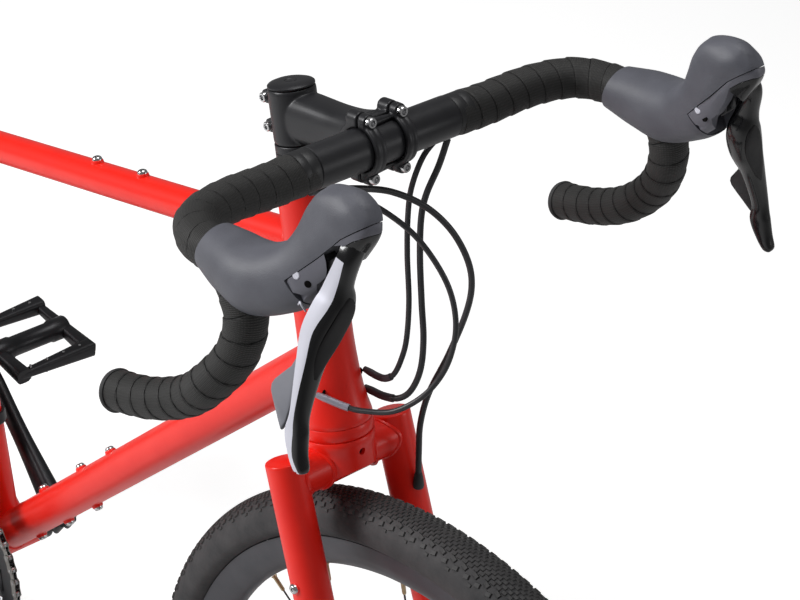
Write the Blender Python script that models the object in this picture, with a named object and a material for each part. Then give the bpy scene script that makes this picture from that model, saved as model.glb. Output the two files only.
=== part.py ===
"""Drop-bar trekking bicycle: steel frame, disc brakes, two chainrings, eight sprockets.

Metres, +Z up, +X forward, +Y to the rider's left. The origin is on the ground,
midway between the points where the two tyres touch it.
"""
import bpy
import bmesh
import math
from mathutils import Matrix, Vector

# Wheels
WHEEL_BASE = 1.050
TYRE_RADIUS = 0.355
TYRE_HALF_WIDTH = 0.0232
RIM_EDGE_RADIUS = 0.3170
RIM_HALF_WIDTH = 0.0135
RIM_DEPTH = 0.028
WHEEL_SEGMENTS = 28
SPOKES = 20
SPOKE_RADIUS = 0.0010
FRONT_HUB_HALF = 0.0500
REAR_HUB_HALF = 0.0710
ROTOR_RADIUS = 0.080
ROTOR_THICK = 0.0018
ROTOR_INSET = 0.0153
AXLE_RADIUS = 0.0060

# Frame and steering
HEAD_ANGLE = math.radians(71.1)
SEAT_ANGLE = math.radians(73.5)
FORK_RAKE = 0.0482
BB = Vector((-0.092, 0.0, 0.295))
BB_SHELL_HALF = 0.034
HEAD_LOW = 0.4135
HEAD_TOP = 0.6030
DOWN_TUBE_RADIUS = 0.0180
TOP_TUBE_RADIUS = 0.0138
SEAT_TUBE_RADIUS = 0.0160
SEAT_TUBE_LENGTH = 0.458
SEATPOST_RADIUS = 0.0136
SADDLE_CLAMP_UP = 0.628
LEG_SPREAD = 0.0545
LEG_RADIUS = 0.0154
STEERER_RADIUS = 0.0143

# Handlebar and stem
BAR_UP = 0.654
BAR_REACH = 0.092
BAR_CLAMP_RADIUS = 0.0159
BAR_RADIUS = 0.0119
TAPE_RADIUS = 0.0160
TAPE_START = 0.0660

# Drive
PITCH = 0.0127
RING_LARGE = 46
RING_SMALL = 30
SPROCKETS = (11, 13, 15, 17, 19, 22, 26, 32)
SPROCKET_STEP = 0.0040
SPROCKET_IN_USE = 4
CHAIN_LINE = -0.0504
RING_STEP = 0.0070
JOCKEY_TEETH = 11
TOOTH_RISE = 0.0030
TOOTH_DEPTH = 0.0066
CRANK_LENGTH = 0.1725
CRANK_ANGLE = math.radians(148.0)
CAGE_LENGTH = 0.078
GUIDE_BELOW = 0.104
GUIDE_AHEAD = 0.012

GAP = 0.0003
# Flat seats for the two brake calipers, in X and Z
FRONT_BRAKE_SEAT = ((0.4520, 0.3920), (0.4620, 0.3780), (0.5020, 0.3920), (0.4940, 0.4280), (0.4700, 0.4250))
FRONT_BRAKE_FOOT = ((0.4500, 0.3940), (0.4620, 0.3800), (0.4820, 0.3880), (0.4800, 0.4200), (0.4640, 0.4180))
REAR_BRAKE_SEAT = ((-0.4880, 0.3450), (-0.4300, 0.3420), (-0.4360, 0.3920), (-0.4620, 0.3980))
REAR_BRAKE_FOOT = ((-0.4780, 0.3600), (-0.4370, 0.3600), (-0.4400, 0.3920), (-0.4620, 0.3940))
FRONT_AXLE = Vector((WHEEL_BASE / 2, 0.0, TYRE_RADIUS))
REAR_AXLE = Vector((-WHEEL_BASE / 2, 0.0, TYRE_RADIUS))
STEER_UP = Vector((-math.cos(HEAD_ANGLE), 0.0, math.sin(HEAD_ANGLE)))
STEER_AHEAD = Vector((math.sin(HEAD_ANGLE), 0.0, math.cos(HEAD_ANGLE)))
STEER_FOOT = FRONT_AXLE - STEER_AHEAD * FORK_RAKE
SEAT_UP = Vector((-math.cos(SEAT_ANGLE), 0.0, math.sin(SEAT_ANGLE)))
X_AXIS = Vector((1.0, 0.0, 0.0))
Y_AXIS = Vector((0.0, 1.0, 0.0))
Z_AXIS = Vector((0.0, 0.0, 1.0))
BAR_CENTRE = STEER_FOOT + STEER_UP * BAR_UP + STEER_AHEAD * BAR_REACH

FINISHES = {
    "orange_paint": ((0.83, 0.075, 0.035, 1.0), 0.35, 0.0),
    "black_alloy": ((0.018, 0.018, 0.020, 1.0), 0.38, 0.6),
    "black_gloss": ((0.010, 0.010, 0.012, 1.0), 0.15, 0.0),
    "bright_steel": ((0.62, 0.62, 0.63, 1.0), 0.25, 1.0),
    "dark_steel": ((0.20, 0.20, 0.21, 1.0), 0.40, 1.0),
    "rubber": ((0.022, 0.022, 0.023, 1.0), 0.85, 0.0),
    "hood_rubber": ((0.055, 0.056, 0.060, 1.0), 0.75, 0.0),
    "bar_tape": ((0.020, 0.020, 0.021, 1.0), 0.80, 0.0),
    "cable_housing": ((0.012, 0.012, 0.013, 1.0), 0.45, 0.0),
    "saddle_cover": ((0.020, 0.020, 0.021, 1.0), 0.65, 0.0),
    "rim_alloy": ((0.060, 0.060, 0.065, 1.0), 0.45, 0.5),
}


def clear_scene():
    """Start from an empty scene."""
    for obj in list(bpy.data.objects):
        bpy.data.objects.remove(obj, do_unlink=True)


def make_finishes():
    """One Principled material for each finish."""
    made = {}
    for name, (colour, roughness, metallic) in FINISHES.items():
        material = bpy.data.materials.new(name)
        material.use_nodes = True
        shader = material.node_tree.nodes["Principled BSDF"]
        shader.inputs["Base Color"].default_value = colour
        shader.inputs["Roughness"].default_value = roughness
        shader.inputs["Metallic"].default_value = metallic
        made[name] = material
    return made


def steer_point(up, ahead=0.0, side=0.0):
    """A point given along the steering axis, square to it, and sideways."""
    return STEER_FOOT + STEER_UP * up + STEER_AHEAD * ahead + Y_AXIS * side


def seat_point(up, ahead=0.0):
    """A point along the seat tube from the bottom bracket."""
    return BB + SEAT_UP * up + Vector((SEAT_UP.z, 0.0, -SEAT_UP.x)) * ahead


def smooth_curve(points, per_span=4):
    """Points on a Catmull-Rom curve through the given ones."""
    points = [Vector(p) for p in points]
    ends = [2 * points[0] - points[1]] + points + [2 * points[-1] - points[-2]]
    out = []
    for k in range(1, len(ends) - 2):
        a, b, c, d = ends[k - 1:k + 3]
        for step in range(per_span):
            t = step / per_span
            out.append(0.5 * (2 * b + (c - a) * t + (2 * a - 5 * b + 4 * c - d) * t * t
                              + (3 * b - a - 3 * c + d) * t * t * t))
    return out + [points[-1]]


def even_points(points, spacing):
    """Points at an even spacing along a smooth curve through a route."""
    fine = smooth_curve(points, 24)
    length = sum((b - a).length for a, b in zip(fine, fine[1:]))
    count = max(2, round(length / spacing))
    out = [fine[0]]
    goal = length / count
    run = 0.0
    for a, b in zip(fine, fine[1:]):
        step = (b - a).length
        while run + step >= goal * len(out) and len(out) < count:
            out.append(a.lerp(b, (goal * len(out) - run) / step))
        run += step
    return out + [fine[-1]]


def frames_along(points, side):
    """Tangent and two normals at each point, turned as little as the path allows."""
    frames = []
    for k, point in enumerate(points):
        before = points[max(k - 1, 0)]
        after = points[min(k + 1, len(points) - 1)]
        tangent = (after - before).normalized()
        side = (side - tangent * side.dot(tangent)).normalized()
        frames.append((point, tangent, side, tangent.cross(side)))
    return frames


def loft(rings):
    """A closed body through rings of equal point counts, with flat end caps."""
    bm = bmesh.new()
    rows = [[bm.verts.new(p) for p in ring] for ring in rings]
    count = len(rows[0])
    for low, high in zip(rows, rows[1:]):
        for k in range(count):
            bm.faces.new((low[k], low[(k + 1) % count], high[(k + 1) % count], high[k]))
    bm.faces.new(rows[0][::-1])
    bm.faces.new(rows[-1])
    bmesh.ops.recalc_face_normals(bm, faces=bm.faces)
    return bm


def oval(centre, first, second, half_first, half_second, sides, turn=0.5):
    """A ring of points on an ellipse."""
    ring = []
    for k in range(sides):
        angle = 2 * math.pi * (k + turn) / sides
        ring.append(centre + first * half_first * math.cos(angle) + second * half_second * math.sin(angle))
    return ring


def sweep(points, radii, sides, side=Y_AXIS):
    """A round or oval rod along points; a radius may be a (side, other) pair."""
    points = [Vector(p) for p in points]
    if not isinstance(radii, (list, tuple)):
        radii = [radii] * len(points)
    rings = []
    for (point, _, first, second), radius in zip(frames_along(points, side), radii):
        wide, tall = radius if isinstance(radius, tuple) else (radius, radius)
        rings.append(oval(point, first, second, wide, tall, sides))
    return loft(rings)


def rod(start, end, radius, sides=12, end_radius=None):
    """A straight round bar or a cone."""
    axis = Vector(end) - Vector(start)
    side = Y_AXIS if abs(axis.normalized().y) < 0.9 else X_AXIS
    last = radius if end_radius is None else end_radius
    return sweep([start, end], [radius, last], sides, side)


def turned(profile, centre, axis, segments, start_side=None):
    """Revolve (radius, along) points about an axis; a profile off the axis is a ring."""
    axis = axis.normalized()
    side = start_side or (X_AXIS if abs(axis.x) < 0.9 else Z_AXIS)
    side = (side - axis * side.dot(axis)).normalized()
    bm = bmesh.new()
    verts = [bm.verts.new(centre + side * r + axis * h) for r, h in profile]
    edges = [bm.edges.new((a, b)) for a, b in zip(verts, verts[1:])]
    if min(r for r, _ in profile) > 1e-6:
        edges.append(bm.edges.new((verts[-1], verts[0])))
    bmesh.ops.spin(bm, geom=verts + edges, cent=centre, axis=axis, angle=2 * math.pi,
                   steps=segments, use_merge=False)
    bmesh.ops.remove_doubles(bm, verts=bm.verts, dist=1e-6)
    bmesh.ops.recalc_face_normals(bm, faces=bm.faces)
    return bm


def plate(outline, centre, first, second, thickness, shift=0.0):
    """An outline in the plane of first and second, given a thickness square to it."""
    normal = first.cross(second).normalized()
    bm = bmesh.new()
    base = centre + normal * (shift - thickness / 2)
    face = bm.faces.new([bm.verts.new(base + first * u + second * v) for u, v in outline])
    grown = bmesh.ops.extrude_face_region(bm, geom=[face])
    moved = [item for item in grown["geom"] if isinstance(item, bmesh.types.BMVert)]
    bmesh.ops.translate(bm, verts=moved, vec=normal * thickness)
    bmesh.ops.recalc_face_normals(bm, faces=bm.faces)
    return bm


def side_plate(outline, y_low, y_high):
    """An outline drawn in X and Z, between two Y values."""
    shifted = [(x, -z) for x, z in outline]
    return plate(shifted, Y_AXIS * (y_low + y_high) / 2, X_AXIS, -Z_AXIS, abs(y_high - y_low))


def box(low, high):
    """A box between two corners."""
    outline = [(low[0], low[2]), (high[0], low[2]), (high[0], high[2]), (low[0], high[2])]
    return side_plate(outline, low[1], high[1])


def arc(centre, radius, start, end, steps):
    """Points of an arc in a plane, angles in degrees."""
    out = []
    for k in range(steps + 1):
        angle = math.radians(start + (end - start) * k / steps)
        out.append((centre[0] + radius * math.cos(angle), centre[1] + radius * math.sin(angle)))
    return out


def temp_object(bm):
    """A mesh object that a Boolean modifier can use."""
    mesh = bpy.data.meshes.new("piece")
    bm.to_mesh(mesh)
    bm.free()
    obj = bpy.data.objects.new("piece", mesh)
    bpy.context.scene.collection.objects.link(obj)
    return obj


def fuse(bodies, cuts=()):
    """Join bodies into one by Boolean union, then take the cuts out of it."""
    base = temp_object(bodies[0])
    helpers = [base]
    for tools, operation in ((bodies[1:], "UNION"), (cuts, "DIFFERENCE")):
        if not tools:
            continue
        group = bpy.data.collections.new("tools")
        for tool in tools:
            obj = temp_object(tool)
            bpy.context.scene.collection.objects.unlink(obj)
            group.objects.link(obj)
            helpers.append(obj)
        step = base.modifiers.new(operation, "BOOLEAN")
        step.operation = operation
        step.solver = "EXACT"
        step.operand_type = "COLLECTION"
        step.collection = group
    evaluated = base.evaluated_get(bpy.context.evaluated_depsgraph_get())
    result = bmesh.new()
    result.from_mesh(evaluated.to_mesh())
    evaluated.to_mesh_clear()
    for obj in helpers:
        bpy.data.objects.remove(obj, do_unlink=True)
    bmesh.ops.remove_doubles(result, verts=result.verts, dist=2e-6)
    bmesh.ops.dissolve_degenerate(result, edges=result.edges, dist=1e-6)
    return result


GROUPS = {}
MATERIALS = {}


def group(name, pivot, parent=None):
    """An empty on a joint's axis, which carries the pieces of one moving body."""
    empty = bpy.data.objects.new(name, None)
    empty.empty_display_size = 0.03
    bpy.context.scene.collection.objects.link(empty)
    origin = Vector((0.0, 0.0, 0.0))
    if parent:
        empty.parent = GROUPS[parent][0]
        origin = GROUPS[parent][1]
    empty.location = pivot - origin
    GROUPS[name] = (empty, pivot)


def piece(name, bm, finish, body, smooth=35.0):
    """One named piece, from a body given in the bicycle's frame."""
    empty, pivot = GROUPS[body]
    bmesh.ops.translate(bm, verts=bm.verts, vec=-pivot)
    mesh = bpy.data.meshes.new(name)
    bm.to_mesh(mesh)
    bm.free()
    mesh.materials.append(MATERIALS[finish])
    mesh.shade_smooth()
    mesh.set_sharp_from_angle(angle=math.radians(smooth))
    obj = bpy.data.objects.new(name, mesh)
    bpy.context.scene.collection.objects.link(obj)
    obj.parent = empty
    return obj


def make_frame():
    """Main triangle, stays, dropouts, shells and bosses, welded into one."""
    head_low = steer_point(HEAD_LOW)
    head = turned([(0.0, 0.0), (0.0285, 0.0), (0.0285, 0.012), (0.0235, 0.030), (0.0215, 0.060),
                   (0.0220, HEAD_TOP - HEAD_LOW), (0.0, HEAD_TOP - HEAD_LOW)],
                  head_low, STEER_UP, 14)
    seat_joint = seat_point(0.4205)
    top_front = steer_point(0.557)
    down_front = steer_point(0.465)
    ring = turned([(0.0, HEAD_LOW - 0.0104), (0.0272, HEAD_LOW - 0.0104), (0.0285, HEAD_LOW - 0.0020), (0.0278, HEAD_LOW + 0.0010),
                   (0.0, HEAD_LOW + 0.0010)], STEER_FOOT, STEER_UP, 14)
    bodies = [head, ring]
    bodies.append(rod(top_front, seat_joint, TOP_TUBE_RADIUS, 10))
    bodies.append(rod(down_front, BB, DOWN_TUBE_RADIUS, 10))
    bodies.append(rod(BB, seat_point(SEAT_TUBE_LENGTH), SEAT_TUBE_RADIUS, 12))
    bodies.append(rod(BB - Y_AXIS * BB_SHELL_HALF, BB + Y_AXIS * BB_SHELL_HALF, 0.0210, 14))
    for sign in (-1, 1):
        low = [(-0.108, sign * 0.0225, 0.297), (-0.160, sign * 0.0335, 0.3045),
               (-0.300, sign * 0.0520, 0.324), (-0.420, sign * 0.0685, 0.341), (-0.512, sign * 0.0752, 0.353)]
        size = (0.0085, 0.0080, 0.0095, 0.0088, 0.0064)
        bodies.append(sweep(low, [(a, a * 1.15) for a in size], 6))
        high = [(-0.198, sign * 0.0140, 0.668), (-0.230, sign * 0.0300, 0.637), (-0.300, sign * 0.0440, 0.569), (-0.420, sign * 0.0665, 0.455), (-0.513, sign * 0.0745, 0.366)]
        bodies.append(sweep(high, 0.0076, 6))
        drop = [(-0.500, 0.344), (-0.490, 0.356), (-0.502, 0.375), (-0.515, 0.382), (-0.541, 0.372),
                (-0.545, 0.355), (-0.541, 0.340), (-0.525, 0.335)]
        if sign < 0:
            drop = drop[:6] + [(-0.543, 0.335), (-0.540, 0.316), (-0.523, 0.314), (-0.518, 0.334)]
        inner = REAR_HUB_HALF + GAP
        bodies.append(side_plate(drop, sign * inner, sign * (inner + 0.0065)))
    bodies.append(rod((-0.2330, -0.034, 0.634), (-0.2330, 0.034, 0.634), 0.0060, 8))
    bodies.append(rod((-0.1520, -0.034, 0.3035), (-0.1520, 0.034, 0.3035), 0.0065, 8))
    bodies.append(side_plate(REAR_BRAKE_SEAT, 0.0705, 0.0775))
    bodies += make_ports()
    bodies += make_bosses(top_front, seat_joint, down_front)
    cuts = [rod(steer_point(HEAD_LOW - 0.02), steer_point(HEAD_TOP + 0.01), 0.0168, 12)]
    cuts.append(rod(seat_point(0.20), seat_point(0.50), SEATPOST_RADIUS + 0.0010, 12))
    cuts.append(rod(BB - Y_AXIS * 0.05, BB + Y_AXIS * 0.05, 0.0180, 10))
    cuts.append(rod(REAR_AXLE - Y_AXIS * 0.1, REAR_AXLE + Y_AXIS * 0.1, AXLE_RADIUS + 0.0010, 8))
    cuts.append(rod((-0.5315, -0.09, 0.325), (-0.5315, -0.06, 0.325), 0.0045, 8))
    piece("frame", fuse(bodies, cuts), "orange_paint", "frame_body")


def make_ports():
    """Stops on the head tube where three cables go inside the frame."""
    bodies = []
    for name in ("rear_shift_cable", "rear_brake_hose", "front_shift_cable"):
        radius, _, route = CABLES[name]
        end = Vector(route[-1])
        into = (end - Vector(route[-2])).normalized()
        inside = end + into * 0.009 - STEER_FOOT
        up = inside.dot(STEER_UP)
        square = inside - STEER_UP * up
        wall = STEER_FOOT + STEER_UP * up + square.normalized() * 0.0180
        bodies.append(sweep([end + into * GAP, end + into * 0.005, wall], radius + 0.0009, 6))
    return bodies


def make_bosses(top_front, seat_joint, down_front):
    """Threaded bosses with their button bolts on the top tube and the down tube."""
    top_along = (top_front - seat_joint).normalized()
    top_square = Vector((-top_along.z, 0.0, top_along.x))
    down_along = (down_front - BB).normalized()
    down_square = Vector((-down_along.z, 0.0, down_along.x))
    places = []
    for along in (0.2600, 0.3240):
        places.append((seat_joint + top_along * along, top_square, TOP_TUBE_RADIUS))
    for along in (0.1150, 0.2000, 0.2640):
        places.append((BB + down_along * along, down_square, DOWN_TUBE_RADIUS))
    for along in (0.0700, 0.1340, 0.1980):
        places.append((BB + down_along * along, -down_square, DOWN_TUBE_RADIUS))
    bodies = []
    for foot, out, radius in places:
        bodies.append(rod(foot + out * (radius - 0.003), foot + out * (radius + 0.0052), 0.0058, 6, 0.0044))
    return bodies


def make_seat():
    """Seatpost, its collar, the saddle base on rails, and the cushion."""
    axis_side = Vector((SEAT_UP.z, 0.0, -SEAT_UP.x))
    top = seat_point(SADDLE_CLAMP_UP)
    shaft = rod(seat_point(0.26), seat_point(SADDLE_CLAMP_UP - 0.012), SEATPOST_RADIUS, 10)
    head = rod(top - Y_AXIS * 0.0190, top + Y_AXIS * 0.0190, 0.0145, 10)
    cradle = box((top.x - 0.022, -0.0225, top.z + 0.004), (top.x + 0.022, 0.0225, top.z + 0.0115))
    upper = box((top.x - 0.018, -0.0275, top.z + 0.0215), (top.x + 0.018, 0.0275, top.z + 0.0255))
    bolts = [rod(top + Vector((dx, 0.0, -0.016)), top + Vector((dx, 0.0, 0.030)), 0.0030, 6) for dx in (-0.0135, 0.0135)]
    grooves = [rod((top.x - 0.05, s * 0.0220, top.z + 0.0165), (top.x + 0.05, s * 0.0220, top.z + 0.0165), 0.0053, 6)
               for s in (-1, 1)]
    piece("seatpost", fuse([shaft, head, cradle, upper] + bolts, grooves), "black_alloy", "frame_body")

    collar_low = seat_point(SEAT_TUBE_LENGTH - 0.016)
    ring = turned([(SEAT_TUBE_RADIUS + 0.0010, 0.0), (0.0200, 0.0), (0.0200, 0.0170), (SEAT_TUBE_RADIUS + 0.0010, 0.0170)], collar_low, SEAT_UP, 12)
    lug_centre = collar_low + SEAT_UP * 0.0085 - axis_side * 0.0225
    lug = rod(lug_centre - Y_AXIS * 0.010, lug_centre + Y_AXIS * 0.010, 0.0058, 6)
    slot = plate([(-0.0300, -0.0100), (-0.0170, -0.0100), (-0.0170, 0.0200), (-0.0300, 0.0200)],
                 collar_low + SEAT_UP * 0.004, axis_side, SEAT_UP, 0.0014)
    piece("seat_clamp", fuse([ring, lug], [slot]), "black_alloy", "frame_body")
    make_saddle(top)


def saddle_half_width(x):
    """Half the saddle's width at a distance ahead of its tail."""
    t = max(0.0, min(1.0, x / 0.272))
    wing = 0.0725 * math.exp(-((t - 0.16) / 0.22) ** 2)
    nose = 0.0185 * (1 - 0.25 * t)
    return (wing + nose) * min(1.0, 0.55 + 4.0 * t)


def make_saddle(top):
    """Rails and base shell in one body, and the cushion with its centre channel."""
    tail_x = top.x - 0.128
    base_z = top.z + 0.040
    rails = []
    for sign in (-1, 1):
        path = [(tail_x + 0.022, sign * 0.036, base_z + 0.004), (tail_x + 0.027, sign * 0.036, base_z - 0.006),
                (tail_x + 0.040, sign * 0.034, base_z - 0.014), (top.x - 0.045, sign * 0.0225, top.z + 0.0170),
                (top.x - 0.030, sign * 0.0220, top.z + 0.0165), (top.x + 0.045, sign * 0.0220, top.z + 0.0165),
                (top.x + 0.070, sign * 0.0170, top.z + 0.0190), (top.x + 0.112, sign * 0.007, base_z + 0.003)]
        rails.append(sweep(path, 0.0035, 5))
    rings = []
    for k in range(7):
        x = 0.010 + 0.252 * k / 6
        half = saddle_half_width(x) * 0.80
        z = base_z + 0.004 + 0.010 * (x / 0.272 - 0.5) ** 2
        centre = Vector((tail_x + x, 0.0, z))
        rings.append([centre + Vector((0.0, half * u, 0.004 * v)) for u, v in
                      ((-1, -1), (1, -1), (1, 0.4), (0.7, 1), (-0.7, 1), (-1, 0.4))])
    piece("saddle_rails", fuse([loft(rings)] + rails), "black_alloy", "frame_body")

    cushion = []
    stations = 12
    for k in range(stations):
        t = k / (stations - 1)
        x = 0.272 * t
        half = saddle_half_width(x) * (0.72 if k in (0, stations - 1) else 1.0)
        low = base_z + 0.0092 + 0.010 * (x / 0.272 - 0.5) ** 2
        crown = 0.030 + 0.010 * (2 * t - 1) ** 2
        if k in (0, stations - 1):
            crown *= 0.62
        ring = []
        for u, v in ((-0.80, 0.0), (-0.99, 0.22), (-1.0, 0.45), (-0.90, 0.72), (-0.62, 0.93), (-0.30, 1.0), (-0.10, 0.84),
                     (0.10, 0.84), (0.30, 1.0), (0.62, 0.93), (0.90, 0.72), (1.0, 0.45), (0.99, 0.22), (0.80, 0.0)):
            lift = 1.0 if abs(u) != 0.10 or 0.12 < t < 0.88 else 1.17
            ring.append(Vector((tail_x + x, half * u, low + crown * v * lift)))
        cushion.append(ring)
    piece("saddle", loft(cushion), "saddle_cover", "frame_body", 50.0)


def make_bearings():
    """Bottom bracket cups with their sleeve, and the lower headset cup."""
    half = BB_SHELL_HALF
    profile = [(0.0128, -half - 0.0085), (0.0210, -half - 0.0085), (0.0210, -half - GAP),
               (0.0168, -half - GAP), (0.0168, half + GAP), (0.0210, half + GAP),
               (0.0210, half + 0.0085), (0.0128, half + 0.0085)]
    piece("bottom_bracket", turned(profile, BB, Y_AXIS, 10), "black_alloy", "frame_body")


def make_fork():
    """Steerer, crown, arms and two straight legs with flat tops, in one weldment."""
    axle = FRONT_AXLE
    crown_top = 0.4028
    crown = turned([(0.0, 0.330), (0.0262, 0.330), (0.0262, 0.384), (0.0285, 0.398), (0.0285, crown_top),
                    (0.0155, crown_top), (STEERER_RADIUS, 0.4260), (STEERER_RADIUS, 0.6800), (0.0, 0.6800)],
                   STEER_FOOT, STEER_UP, 12)
    slant = plate([(-0.06, 0.336), (0.06, 0.394), (0.06, 0.290), (-0.06, 0.290)], STEER_FOOT, STEER_AHEAD, STEER_UP, 0.08)
    bodies = [fuse([crown], [slant])]
    hole = rod(steer_point(0.393, 0.010), steer_point(0.393, 0.040), 0.0028, 8)
    top = steer_point(0.3940)
    for sign in (-1, 1):
        head = top + Y_AXIS * sign * LEG_SPREAD
        foot = axle + Y_AXIS * sign * 0.0588
        down = (foot - head).normalized()
        leg = [head - down * 0.004, head, head + down * 0.150, head + down * 0.300, foot - down * 0.006]
        bodies.append(sweep(leg, [LEG_RADIUS - 0.0022, LEG_RADIUS, LEG_RADIUS, 0.0118, 0.0086], 10, X_AXIS))
        inner = FRONT_HUB_HALF + GAP
        drop = [(axle.x - 0.016, axle.z + 0.020), (axle.x - 0.013, axle.z - 0.006), (axle.x, axle.z - 0.0145),
                (axle.x + 0.0125, axle.z - 0.007), (axle.x + 0.0145, axle.z + 0.006), (axle.x + 0.004, axle.z + 0.026)]
        bodies.append(side_plate(drop, sign * inner, sign * (inner + 0.0135)))
        for along in (0.096, 0.160, 0.224):
            spot = head + down * along + Y_AXIS * sign * 0.0125
            bodies.append(rod(spot, spot + Y_AXIS * sign * 0.0062, 0.0050, 6))
    arm = steer_point(0.3800)
    bodies.append(rod(arm - Y_AXIS * LEG_SPREAD, arm + Y_AXIS * LEG_SPREAD, 0.0160, 10))
    port = steer_point(0.338, 0.021, LEG_SPREAD)
    bodies.append(rod(port - STEER_UP * 0.012 - STEER_AHEAD * 0.010, port, 0.0048, 6))
    bodies.append(side_plate(FRONT_BRAKE_SEAT, 0.0505, 0.0600))
    cuts = [hole, rod(axle - Y_AXIS * 0.1, axle + Y_AXIS * 0.1, AXLE_RADIUS + 0.0010, 8)]
    piece("fork", fuse(bodies, cuts), "orange_paint", "steering")


def make_cockpit():
    """Headset cover and spacer, stem, faceplate, top cap and handlebar."""
    cover = [(0.0150, HEAD_TOP + GAP), (0.0232, HEAD_TOP + GAP), (0.0175, 0.6255),
             (0.0182, 0.6265), (0.0182, 0.6355), (0.0150, 0.6355)]
    piece("headset_spacers", turned(cover, STEER_FOOT, STEER_UP, 12), "black_alloy", "steering")
    cap = [(0.0, 0.6810), (0.0175, 0.6810), (0.0175, 0.6828), (0.0150, 0.6848), (0.0060, 0.6848), (0.0, 0.6838)]
    piece("top_cap", turned(cap, STEER_FOOT, STEER_UP, 10), "black_gloss", "steering")

    side = Y_AXIS
    clamp = turned([(0.0, 0.6360), (0.0180, 0.6360), (0.0192, 0.6380), (0.0192, 0.6785), (0.0178, 0.6806), (0.0, 0.6806)],
                   STEER_FOOT, STEER_UP, 12)
    neck = sweep([steer_point(0.6575, 0.006), steer_point(0.6565, 0.050), steer_point(0.6545, BAR_REACH - 0.008)],
                 [(0.0155, 0.0180), (0.0150, 0.0165), (0.0185, 0.0190)], 10)
    drum = rod(BAR_CENTRE - side * 0.0215, BAR_CENTRE + side * 0.0215, 0.0206, 12)
    pinch = [rod(steer_point(up, -0.0205, -0.0115), steer_point(up, -0.0205, 0.0115), 0.0055, 6) for up in (0.6435, 0.6690)]
    lugs = []
    for s in (-1, 1):
        for v in (-1, 1):
            spot = BAR_CENTRE + STEER_UP * v * 0.0225 + side * s * 0.0147
            lugs.append(rod(spot - STEER_AHEAD * 0.0130, spot - STEER_AHEAD * 0.0006, 0.0058, 6))
    split = plate([(-0.0004, -0.05), (0.06, -0.05), (0.06, 0.05), (-0.0004, 0.05)], BAR_CENTRE, STEER_AHEAD, STEER_UP, 0.06)
    bar_hole = rod(BAR_CENTRE - side * 0.05, BAR_CENTRE + side * 0.05, BAR_CLAMP_RADIUS + 0.0008, 12)
    steerer_hole = rod(steer_point(0.60), steer_point(0.70), STEERER_RADIUS + 0.0009, 12)
    slit = plate([(-0.0400, 0.630), (-0.0120, 0.630), (-0.0120, 0.690), (-0.0400, 0.690)], STEER_FOOT, STEER_AHEAD, STEER_UP, 0.0016)
    piece("stem", fuse([clamp, neck, drum] + pinch + lugs, [split, bar_hole, steerer_hole, slit]), "black_alloy", "steering")
    make_faceplate()
    make_handlebar()


def make_faceplate():
    """Two bands round the front of the bar, joined at their edges, with four bolts."""
    side = Y_AXIS
    shell = rod(BAR_CENTRE - side * 0.0195, BAR_CENTRE + side * 0.0195, 0.0204, 12)
    parts = [shell]
    for s in (-1, 1):
        for v in (-1, 1):
            spot = BAR_CENTRE + STEER_UP * v * 0.0225 + side * s * 0.0147
            parts.append(rod(spot + STEER_AHEAD * 0.0006, spot + STEER_AHEAD * 0.0115, 0.0056, 6, 0.0042))
    back = plate([(-0.06, -0.05), (0.0006, -0.05), (0.0006, 0.05), (-0.06, 0.05)], BAR_CENTRE, STEER_AHEAD, STEER_UP, 0.06)
    bar_hole = rod(BAR_CENTRE - side * 0.05, BAR_CENTRE + side * 0.05, BAR_CLAMP_RADIUS + 0.0008, 12)
    window = plate([(0.0030, -0.0158), (0.0300, -0.0158), (0.0300, 0.0158), (0.0030, 0.0158)],
                   BAR_CENTRE, STEER_AHEAD, STEER_UP, 0.0190)
    piece("stem_faceplate", fuse(parts, [back, bar_hole, window]), "black_alloy", "steering")


BAR_POINTS = (
    (0.3550, 0.0000, 0.9880), (0.3550, 0.0600, 0.9880), (0.3552, 0.1180, 0.9875), (0.3600, 0.1480, 0.9862),
    (0.3750, 0.1670, 0.9850), (0.3990, 0.1745, 0.9840), (0.4240, 0.1775, 0.9795), (0.4410, 0.1800, 0.9650),
    (0.4450, 0.1845, 0.9440), (0.4380, 0.1915, 0.9210), (0.4215, 0.1995, 0.8990), (0.3970, 0.2075, 0.8790),
    (0.3700, 0.2140, 0.8640), (0.3400, 0.2200, 0.8500),
)
BAR_SHIFT = BAR_CENTRE - Vector(BAR_POINTS[0])


def bar_path(sign):
    """The bar's centre line on one side, from the clamp out to the end."""
    points = [Vector((x, sign * y, z)) + BAR_SHIFT for x, y, z in BAR_POINTS]
    fine = smooth_curve(points, 2)
    return [p for k, p in enumerate(fine) if k not in (1, 2, 3, 5, 11, 19, 21, 23, 24, 25)]


def make_handlebar():
    """A flared drop bar, thick at the stem, with tape from beside the stem to each end."""
    right = bar_path(-1)
    left = bar_path(1)
    path = right[::-1] + left[1:]
    bar = sweep(path, BAR_RADIUS, 5, Z_AXIS)
    middle = turned([(0.0, -0.063), (0.0125, -0.063), (BAR_CLAMP_RADIUS, -0.050), (BAR_CLAMP_RADIUS, 0.050),
                     (0.0125, 0.063), (0.0, 0.063)], BAR_CENTRE, Y_AXIS, 12)
    piece("handlebar", fuse([bar, middle]), "black_alloy", "steering")


def tape_route(sign):
    """The centre line of the tape, from beside the stem to the end of the bar."""
    path = bar_path(sign)
    start = Vector((path[0].x, sign * TAPE_START, path[0].z))
    return [start] + [p for p in path if abs(p.y) > TAPE_START + 0.006]


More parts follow.
